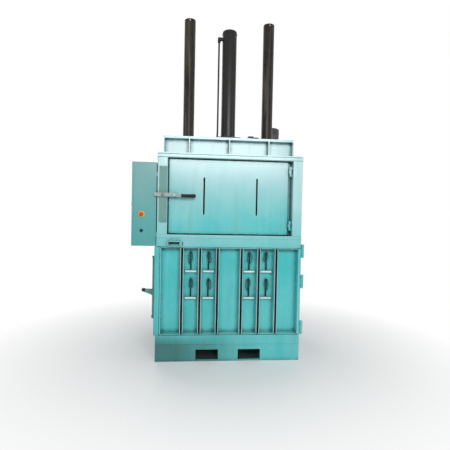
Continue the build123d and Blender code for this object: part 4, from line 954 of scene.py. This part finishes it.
def ride(name, mesh, body, finish):
    """Put a finished mesh in the scene as a piece on a body."""
    mesh.name = name
    piece = bpy.data.objects.new(name, mesh)
    bpy.context.scene.collection.objects.link(piece)
    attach(piece, body)


def grow(name, source, make_tree, body, finish, **values):
    """Run a Geometry Nodes tree on lines or points; keep the result as a plain mesh on a body."""
    tree = make_tree()
    source = point_mesh(source) if make_tree is screw_tree else line_mesh(source)
    seed = bpy.data.objects.new("Source", source)
    bpy.context.scene.collection.objects.link(seed)
    modifier = seed.modifiers.new("Grow", "NODES")
    modifier.node_group = tree
    values["Finish"] = bpy.data.materials[finish]
    for item in tree.interface.items_tree:
        if item.in_out == "INPUT" and item.name in values:
            modifier[item.identifier] = values[item.name]
    graph = bpy.context.evaluated_depsgraph_get()
    mesh = bpy.data.meshes.new_from_object(seed.evaluated_get(graph), depsgraph=graph)
    bpy.data.objects.remove(seed)
    if not mesh.polygons:
        raise RuntimeError(f"{name} came out empty")
    ride(name, mesh, body, finish)


def ride_form(name, form, body, finish):
    """Turn a finished form into a piece on a body."""
    mesh = bpy.data.meshes.new(name)
    form.to_mesh(mesh)
    form.free()
    mesh.materials.append(bpy.data.materials[finish])
    ride(name, mesh, body, finish)


def blocks(name, boxes, body, finish, bevel):
    """Bevelled blocks, each given by its two corners, as one piece on a body."""
    form = bmesh.new()
    for low, high in boxes:
        low, high = Vector(low), Vector(high)
        made = bmesh.ops.create_cube(form, size=1.0)["verts"]
        bmesh.ops.scale(form, vec=high - low, verts=made)
        bmesh.ops.translate(form, vec=(low + high) / 2, verts=made)
    bmesh.ops.bevel(
        form, geom=form.edges[:], offset=bevel, segments=2, affect="EDGES", clamp_overlap=True
    )
    ride_form(name, form, body, finish)


class BALER_OT_welds(bpy.types.Operator):
    """Lay weld beads along the seams of the frame, the cylinder, the doors and the platen"""

    bl_idname = "baler.welds"
    bl_label = "Welds"

    def execute(self, context):
        details = context.scene.baler_details
        frame_seams = (
            *self.rib_seams(), *self.head_seams(), *self.post_seams(), *self.small_seams(),
        )
        for name, body, seams, finish, share in (
            ("cylinder", "frame", self.cylinder_seams(), "Black enamel", 1.0),
            ("frame", "frame", frame_seams, "Weld bead", 1.0),
            ("lower_door", "lower_door", self.lower_door_seams(), "Weld bead", 0.75),
            ("upper_door", "upper_door", self.upper_door_seams(), "Weld bead", 0.75),
            ("platen", "platen", self.platen_seams(), "Weld bead", 1.0),
        ):
            grow(
                f"welds_{name}", seams, weld_tree, body, finish,
                Width=share * details.weld_width, Pitch=share * details.weld_pitch,
            )
        return {"FINISHED"}

    def rib_seams(self):
        """Along both edges of each outside rib, and down its ends against the posts."""
        low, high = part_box("side_ribs")
        rear_low, rear_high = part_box("rear_ribs")
        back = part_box("rear_wall")[1].y
        for level in rib_levels:
            for z in (level - rib_half, level + rib_half):
                for sign in sides:
                    yield straight(sign * wall_face, (low.y, high.y), z)
                yield straight((rear_low.x, rear_high.x), back, z)
            for sign in sides:
                for y in (low.y, high.y):
                    ends = (sign * (wall_face + bead_stop), sign * (high.x - bead_stop))
                    yield straight(ends, y, level + rib_half)

    def head_seams(self):
        """Round the ribs in the head's channels, and along the channels' feet."""
        low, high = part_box("head_beams")
        web, lip, fold = high.y - 0.0665, high.y - 0.004, 0.012
        foot, top = low.z + 0.023, high.z - 0.023
        outline = (
            (lip, foot - fold), (web + fold, foot - fold), (web, foot),
            (web, top), (web + fold, top + fold), (lip, top + fold),
        )
        for sign in sides:
            yield straight((low.x, high.x), sign * high.y, low.z)
            for middle in head_rib_places:
                for x in (middle - 0.005, middle + 0.005):
                    if abs(x) <= high.x - 0.002:
                        yield [(x, sign * y, z) for y, z in outline]
        for x in (low.x, high.x):
            yield straight(x, (low.y + 0.075, low.y), low.z)
            yield straight(x, (high.y, high.y - 0.075), low.z)

    def post_seams(self):
        """Up the posts where the walls meet them, and round the feet of the upper posts."""
        low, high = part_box("corner_posts")
        upper_low, upper_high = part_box("upper_posts")
        for sign in sides:
            for y in (low.y + 0.095, high.y - 0.095):
                yield straight(sign * wall_face, y, (low.z, high.z))
            for z in (upper_low.z, upper_high.z):
                for x in (wall_face, high.x):
                    yield straight(sign * x, (upper_low.y + bead_stop, low.y), z)
        for x in (low.x, high.x):
            yield straight(x, (low.y, high.y - sheet), low.z)

    def small_seams(self):
        """Round the beam's loop, the hinge arms and the lock brackets."""
        low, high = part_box("band_loop")
        y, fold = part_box("mid_beam")[0].y + 0.004, 0.008
        left, right, foot, top = low.x + fold, high.x - fold, low.z + fold, high.z - fold
        outline = (
            (left, low.z), (right, low.z), (high.x, foot), (high.x, top), (right, high.z),
            (left, high.z), (low.x, top), (low.x, foot), (left, low.z),
        )
        yield [(x, y, z) for x, z in outline]
        for level in lower_hinge_levels:
            edges = tuple(level + edge for edge in hinge_arm_edges)
            for z in edges:
                yield straight(half_width, (post_front, post_front + 0.043), z)
            yield straight(half_width, post_front + 0.045, edges[:2])
        low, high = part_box("lock_brackets")
        plate = 0.012
        for z in (low.z, low.z + plate, high.z - plate, high.z):
            yield straight(-half_width, (low.y, high.y), z)

    def cylinder_seams(self):
        """Round the barrel at its flange and at its cap."""
        for z in (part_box("cylinder_flange")[1].z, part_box("cylinder_barrel")[1].z - 0.03):
            yield ring((0, 0, z), barrel_radius, count=64)

    def lower_door_seams(self):
        """Across the ends of the seven channels, and round hinge leaves, keepers and staples."""
        low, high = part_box("lower_door_frame")
        lip, web, fold = low.y + bead_stop, high.y - sheet, 0.007
        for start, end in zip(channel_starts, channel_ends):
            start, end = start + sheet, end - sheet
            outline = (
                (start, lip), (start, web - fold), (start + fold, web), (end - fold, web),
                (end, web - fold), (end, lip),
            )
            for z in (low.z + sheet, high.z - sheet):
                yield [(x, y, z) for x, y in outline]
        for level in lower_hinge_levels:
            edges, rear = tuple(level + edge for edge in hinge_leaf_edges), low.y + 0.07
            for z in edges:
                yield straight(high.x, (low.y + sheet, rear), z)
            yield straight(high.x, rear, edges)
        for level in keeper_levels:
            for x in (low.x + 0.004, low.x + 0.012):
                yield straight(x, high.y, (level - keeper_half, level + keeper_half))
        for column, row in staple_places:
            for x in (column - staple_half, column + staple_half):
                yield ring((x, web, row), staple_wire, "Y", 10)

    def upper_door_seams(self):
        """Round the latch's boss and down the hinge leaves."""
        low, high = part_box("upper_door_panel")
        boss = middle_of("latch_mount")
        yield ring((boss.x, low.y, boss.z), 0.0205, "Y", 36)
        depth = min(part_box("upper_hinges_door")[1].y, low.y + 0.036)
        for level in upper_hinge_levels:
            for z in (level + 0.03, level + 0.06):
                yield straight(high.x, (low.y + 0.010, depth), z)

    def platen_seams(self):
        """Round the platen's frame on its plate, and round the guides and the rod."""
        low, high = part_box("platen_frame")
        yield [(x, y, low.z) for x, y in rectangle(low.x, low.y, high.x, high.y)]
        for x in guide_places:
            yield ring((x, 0, high.z), guide_radius + 0.001, count=64)
        yield ring((0, 0, high.z), rod_radius + 0.001)
        for y in platen_rail_faces:
            yield straight((low.x + bead_stop, high.x - bead_stop), y, low.z)


class BALER_OT_screws(bpy.types.Operator):
    """Put hexagon screws on the bush flanges, tank lid, fan cowl, post cover and control box"""

    bl_idname = "baler.screws"
    bl_label = "Screws"

    def execute(self, context):
        flanges = [
            (point, up)
            for x in guide_places
            for z in flange_tops
            for point in ring((x, 0, z), flange_bolt_circle, count=8)[:-1]
        ]
        low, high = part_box("tank_lid")
        end, side, gaps = 0.02, 0.011, 6
        span = high.x - low.x - 2 * end
        lid = [
            ((low.x + end + k * span / gaps, y, high.z - 0.044), up)
            for y in (low.y + side, high.y - side)
            for k in range(gaps + 1)
        ]
        low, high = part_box("post_cover")
        face, side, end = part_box("upper_posts")[0].y - 0.006, 0.013, 0.016
        cover = [
            ((x, face, z), (0, -1, 0))
            for x in (low.x + side, high.x - side)
            for z in (low.z + end, high.z - end)
        ]
        low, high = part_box("control_door")
        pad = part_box("control_box")[1].x - 0.011
        box = [
            ((pad, y, z), (-1, 0, 0))
            for y in (-0.42, -0.315)
            for z in (low.z + 0.11, high.z - 0.11)
        ]
        centre = cowl_centre(-0.045)
        ways = [level_way(math.radians(45 + 90 * k)) for k in range(4)]
        cowl = [(tuple(centre + cowl_radius * way), tuple(way)) for way in ways]
        radius = context.scene.baler_details.screw_radius
        for name, places, finish, share in (
            ("bush_screws", flanges, "Dull zinc", 1.0),
            ("lid_screws", lid, "Dull zinc", 0.8),
            ("cover_screws", cover, "Cover enamel", 0.8),
            ("box_screws", box, "Zinc plate", 1.0),
            ("cowl_screws", cowl, "Dull zinc", 0.6),
        ):
            grow(name, places, screw_tree, "frame", finish, Radius=share * radius)
        return {"FINISHED"}


class BALER_OT_chains(bpy.types.Operator):
    """Hang a slack retaining chain beside each strap pin"""

    bl_idname = "baler.chains"
    bl_label = "Chains"

    def execute(self, context):
        details = context.scene.baler_details
        draw = random.Random(11)
        for number, (column, row) in enumerate(staple_places, 1):
            side = -1 if number % 3 == 1 else 1
            near, far = draw.uniform(0.007, 0.010) * side, draw.uniform(0.021, 0.027) * side
            drop = draw.uniform(0.085, 0.112)
            sway = draw.uniform(-0.005, 0.005)
            loop = (
                (0.7 * near, 0.010, 0.002),
                (near - 0.5 * sway, 0.012, 0.35 * drop),
                (near + sway, 0.010, 0.8 * drop),
                (0.5 * (near + far) + sway, 0.008, drop),
                (far + sway, 0.005, 0.78 * drop),
                (far - sway, 0.004, 0.40 * drop),
                (0.85 * far, 0.008, 0.18 * drop),
                (0.60 * far, 0.010, 0.007),
            )
            reach, drop = -draw.uniform(0.010, 0.020) * side, draw.uniform(0.055, 0.085)
            tail = (
                (-0.005 * side, 0.010, 0.002),
                (0.8 * reach, 0.012, 0.25 * drop),
                (reach - 0.6 * sway, 0.012, 0.6 * drop),
                (0.9 * reach + sway, 0.012, drop),
            )
            lines = [
                [(column + aside, staple_y - out, row - down) for aside, out, down in line]
                for line in (loop, tail)
            ]
            grow(
                f"slack_chain_{number}", lines, chain_tree, f"pin_{number}", "Dark chain",
                Pitch=details.chain_pitch, Wire=details.chain_wire, Seed=number,
            )
        return {"FINISHED"}


class BALER_OT_handles(bpy.types.Operator):
    """Rib the latch's grip, ring its pivot and sleeve the lock lever"""

    bl_idname = "baler.handles"
    bl_label = "Handles"

    def execute(self, context):
        count = context.scene.baler_details.grip_ribs
        low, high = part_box("latch_grip")
        start, end, level = low.x + 0.018, high.x - 0.014, (low.z + high.z) / 2
        grip_radius, taper = 0.0151, 0.002
        places = [start + (end - start) * k / max(count - 1, 1) for k in range(count)]
        ribs = [
            ring((x, grip_y, level), grip_radius + taper * (x - start) / (end - start), "X", 28)
            for x in places
        ]
        grow("grip_ribs", ribs, wire_tree, "upper_latch", "Rubber", Radius=0.0013, Sides=8)
        pivot = middle_of("latch_mount")
        pivot.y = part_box("latch_arm")[0].y - 0.0002
        washer = [ring(pivot, 0.0125, "Y", 36)]
        grow("latch_washer", washer, wire_tree, "upper_latch", "Dull zinc", Radius=0.0018, Sides=8)
        low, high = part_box("lock_lever")
        y, half, foot = (low.y + high.y) / 2, 0.0085, low.z + 0.032
        sleeve = ((low.x - 0.002, y - half, foot), (low.x + 0.036, y + half, foot + 0.033))
        blocks("lever_sleeve", [sleeve], "lower_lock", "Rubber", 0.005)
        return {"FINISHED"}


class BALER_OT_reveal(bpy.types.Operator):
    """Close the hinge side of the upper door with a strip behind its gap"""

    bl_idname = "baler.reveal"
    bl_label = "Reveal strip"

    def execute(self, context):
        low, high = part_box("upper_door_panel")
        strip = (
            (high.x - 0.006, high.y + 0.012, low.z + 0.002),
            (wall_face - 0.005, high.y + 0.017, high.z - 0.002),
        )
        blocks("reveal_strip", [strip], "frame", "Teal enamel", 0.001)
        return {"FINISHED"}


class BALER_OT_power_unit(bpy.types.Operator):
    """Grille on the motor's cowl, grease round the guides, sight glass and drain on the tank"""

    bl_idname = "baler.power_unit"
    bl_label = "Power unit"

    def execute(self, context):
        details = context.scene.baler_details
        wires = self.grille_lines(details.grille_rings)
        grow(
            "fan_grille", wires, wire_tree, "frame", "Black enamel",
            Radius=details.grille_wire, Sides=6,
        )
        collars = [
            ring((x, 0, z + 0.002), guide_radius + 0.0046, count=56)
            for x in guide_places
            for z in flange_tops
        ]
        grow("grease_collars", collars, wire_tree, "frame", "Grease", Radius=0.0042, Sides=10)
        low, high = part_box("oil_tank")
        eye = Vector((high.x + 0.0008, (low.y + high.y) / 2 - 0.03, low.z + 0.11))
        bezel = [ring(eye, 0.019, "X", 32), ring(eye + Vector((0.0012, 0, 0)), 0.015, "X", 32)]
        grow("sight_bezel", bezel, wire_tree, "frame", "Dull zinc", Radius=0.0024, Sides=8)
        self.add_glass(eye, 0.0145, 0.0025)
        drain = [((high.x, eye.y + 0.07, low.z + 0.03), (1, 0, 0))]
        grow("drain_plug", drain, screw_tree, "frame", "Dull zinc", Radius=0.010)
        return {"FINISHED"}

    def grille_lines(self, count):
        """Rings and eight spokes over the motor's fan, a little domed."""
        centre = cowl_centre(0.001)
        reach, spokes, steps_out = 0.086, 8, 8

        def rise(radius):
            return Vector((0, 0, 0.012 * (1 - (radius / reach) ** 2)))

        for k in range(1, count + 1):
            radius = reach * k / count
            yield ring(centre + rise(radius), radius, count=40)
        for k in range(spokes):
            way = level_way(math.tau * k / spokes)
            radii = [reach * step / steps_out for step in range(steps_out + 1)]
            yield [tuple(centre + way * radius + rise(radius)) for radius in radii]

    def add_glass(self, centre, radius, thickness):
        """A shallow round glass with its back closed, facing +X."""
        form = bmesh.new()
        bmesh.ops.create_uvsphere(form, u_segments=32, v_segments=12, radius=1.0)
        turn = Matrix.Rotation(math.pi / 2, 4, "Y")
        scale = Matrix.Diagonal((thickness, radius, radius, 1.0))
        place = Matrix.Translation(centre) @ scale @ turn
        bmesh.ops.transform(form, matrix=place, verts=form.verts[:])
        bmesh.ops.recalc_face_normals(form, faces=form.faces[:])
        for face in form.faces:
            face.smooth = True
        ride_form("sight_glass", form, "frame", "Sight glass")


class BALER_OT_cabinet(bpy.types.Operator):
    """Slotted ducts, terminals, gear details and a door seal in the control box"""

    bl_idname = "baler.cabinet"
    bl_label = "Control box"

    def execute(self, context):
        low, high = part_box("control_door")
        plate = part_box("control_gear")[1].x - 0.004
        start, end = low.y + 0.075, high.y - 0.085
        fingers, covers = [], []
        for z in (high.z - drop for drop in duct_drops):
            fingers += [
                straight(plate - 0.026, (start, end), z + edge) for edge in (-0.022, 0.022)
            ]
            for back, front, half in ((0.055, 0.0525, 0.0235), (0.0025, 0.0, 0.0225)):
                low_end = (plate - back, start - 0.003, z - half)
                covers.append((low_end, (plate - front, end + 0.003, z + half)))
        grow(
            "duct_fingers", fingers, block_tree, "frame", "Grey plastic",
            Size=(0.052, 0.0050, 0.0016), Pitch=0.0082,
        )
        blocks("duct_covers", covers, "frame", "Grey plastic", 0.001)
        z = high.z - terminal_drop
        row = [straight(plate - 0.026, (start + 0.03, end - 0.05), z)]
        grow(
            "terminals", row, block_tree, "frame", "Pale plastic",
            Size=(0.040, 0.0052, 0.046), Pitch=0.0062,
        )
        rail = ((plate - 0.006, start + 0.005, z - 0.0175), (plate, end - 0.01, z + 0.0175))
        blocks("terminal_rail", [rail], "frame", "Zinc plate", 0.001)
        self.add_gear_details(low.y + 0.11, high.z)
        inset = 0.011
        corners = rectangle(low.y + inset, low.z + inset, high.y - 0.010 - inset, high.z - inset)
        seal = [[(high.x - 0.0045, y, z) for y, z in corners]]
        grow("door_seal", seal, wire_tree, "box_door", "Rubber", Radius=0.0028, Sides=10)
        return {"FINISHED"}

    def add_gear_details(self, left, top):
        """Toggles and terminal screws on the fronts of the breakers and contactors."""
        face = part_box("control_gear")[0].x
        toggles, screws = [], []
        for drop, widths in gear_rows:
            y, z = left, top - drop
            for width in widths:
                breaker = width < 0.05
                out, half, below, over = (
                    (0.009, 0.009, 0.006, 0.010) if breaker else (0.004, 0.013, 0.016, 0.016)
                )
                middle = y + width / 2
                foot = (face - out, middle - half, z - below)
                toggles.append((foot, (face + 0.001, middle + half, z + over)))
                poles = max(1, round(width / 0.018))
                for pole in range(poles):
                    place = y + width * (pole + 0.5) / poles
                    screws += [((face, place, z + shift), (-1, 0, 0)) for shift in (0.033, -0.033)]
                y += width + 0.008
        blocks("gear_toggles", toggles, "frame", "Black plastic", 0.0015)
        grow("gear_screws", screws, screw_tree, "frame", "Zinc plate", Radius=0.0027)


class BALER_OT_stage(bpy.types.Operator):
    """Camera at the photograph's place, pale floor, soft lamps"""

    bl_idname = "baler.stage"
    bl_label = "Stage"

    def execute(self, context):
        scene = context.scene
        self.add_camera(scene, scene.baler_stage)
        self.add_floor(scene, scene.baler_stage)
        self.add_lamps(scene, scene.baler_stage)
        self.light_world(scene, scene.baler_stage)
        scene.view_settings.view_transform = "Standard"
        return {"FINISHED"}

    def add_camera(self, scene, stage):
        lens = bpy.data.cameras.new("Camera")
        lens.lens = stage.lens
        lens.sensor_width = 36
        camera = bpy.data.objects.new("Camera", lens)
        turn = Euler((math.pi / 2 + stage.camera_pitch, 0, -stage.camera_yaw)).to_matrix()
        roll = Matrix.Rotation(stage.camera_roll, 3, "Z")
        camera.matrix_world = Matrix.Translation(stage.camera_place) @ (turn @ roll).to_4x4()
        scene.collection.objects.link(camera)
        scene.camera = camera

    def add_floor(self, scene, stage):
        """A wide floor that fades to the plain backdrop as the camera sees it further off."""
        half = 14.0
        mesh = bpy.data.meshes.new("Floor")
        corners = [(-half, -half, 0), (half, -half, 0), (half, half, 0), (-half, half, 0)]
        mesh.from_pydata(corners, [], [(0, 1, 2, 3)])
        floor = bpy.data.objects.new("Floor", mesh)
        scene.collection.objects.link(floor)
        material = bpy.data.materials.new("Pale floor")
        material.use_nodes = True
        mesh.materials.append(material)
        tree = material.node_tree
        shader = tree.nodes["Principled BSDF"]
        feed(tree, shader.inputs["Base Color"], (*stage.floor_colour, 1))
        feed(tree, shader.inputs["Roughness"], 0.55)
        place = tree.nodes.new("ShaderNodeTexCoord").outputs["Object"]
        reach = place_node(tree, "ShaderNodeVectorMath", {0: place}, operation="LENGTH")
        far = Value(tree, reach.outputs["Value"]).stretch(stage.plain_from, stage.plain_at, 0.15)
        seen = tree.nodes.new("ShaderNodeLightPath").outputs["Is Camera Ray"]
        plain = place_node(tree, "ShaderNodeEmission", {"Color": (stage.backdrop,) * 3 + (1,)})
        mixed = place_node(tree, "ShaderNodeMixShader", {0: far * seen, 1: shader, 2: plain})
        feed(tree, tree.nodes["Material Output"].inputs["Surface"], mixed)

    def add_lamps(self, scene, stage):
        aim = Vector((0, 0, cad_high.z * 0.45))
        for name, place, size, power in (
            ("Key lamp", (0.35, -5.0, 3.1), (2.8, 1.6), stage.key_power),
            ("Fill lamp", (4.2, -1.6, 2.2), (2.0, 2.6), stage.fill_power),
            ("Back lamp", (-2.6, 4.0, 3.4), (3.0, 2.5), 2 * stage.fill_power),
        ):
            light = bpy.data.lights.new(name, "AREA")
            light.shape = "RECTANGLE"
            light.size, light.size_y = size
            light.energy = power
            lamp = bpy.data.objects.new(name, light)
            lamp.location = place
            lamp.rotation_euler = (aim - Vector(place)).to_track_quat("-Z", "Y").to_euler()
            scene.collection.objects.link(lamp)

    def light_world(self, scene, stage):
        """Dim light from all round that is seen and mirrored as the plain backdrop."""
        scene.world = bpy.data.worlds.new("Pale surroundings")
        scene.world.use_nodes = True
        tree = scene.world.node_tree
        background = tree.nodes["Background"].inputs
        feed(tree, background["Color"], (1.0, 1.0, 1.0, 1))
        rays = tree.nodes.new("ShaderNodeLightPath").outputs
        seen = Value(tree, rays["Is Camera Ray"]).most(rays["Is Transmission Ray"])
        seen = seen.most(rays["Is Glossy Ray"])
        feed(tree, background["Strength"], seen.stretch(0, 1, stage.world_level, stage.backdrop))


class BALER_PT_panel(bpy.types.Panel):
    """Lists the baler's steps"""

    bl_idname = "BALER_PT_panel"
    bl_label = "Recycling baler"
    bl_space_type = "VIEW_3D"
    bl_region_type = "UI"
    bl_category = "Baler"

    def draw(self, context):
        for step in steps:
            self.layout.operator(step.bl_idname)


steps = (
    BALER_OT_finishes, BALER_OT_welds, BALER_OT_screws, BALER_OT_chains, BALER_OT_handles,
    BALER_OT_reveal, BALER_OT_power_unit, BALER_OT_cabinet, BALER_OT_stage,
)
settings = {"baler_paint": BalerPaint, "baler_details": BalerDetails, "baler_stage": BalerStage}


def register():
    for group in settings.values():
        bpy.utils.register_class(group)
    for name, group in settings.items():
        setattr(bpy.types.Scene, name, PointerProperty(type=group))
    for item in (*steps, BALER_PT_panel):
        bpy.utils.register_class(item)


def unregister():
    for item in (BALER_PT_panel, *reversed(steps)):
        bpy.utils.unregister_class(item)
    for name, group in settings.items():
        delattr(bpy.types.Scene, name)
        bpy.utils.unregister_class(group)


def main():
    register()
    for step in steps:
        family, name = step.bl_idname.split(".")
        getattr(getattr(bpy.ops, family), name)()


if __name__ == "__main__":
    main()
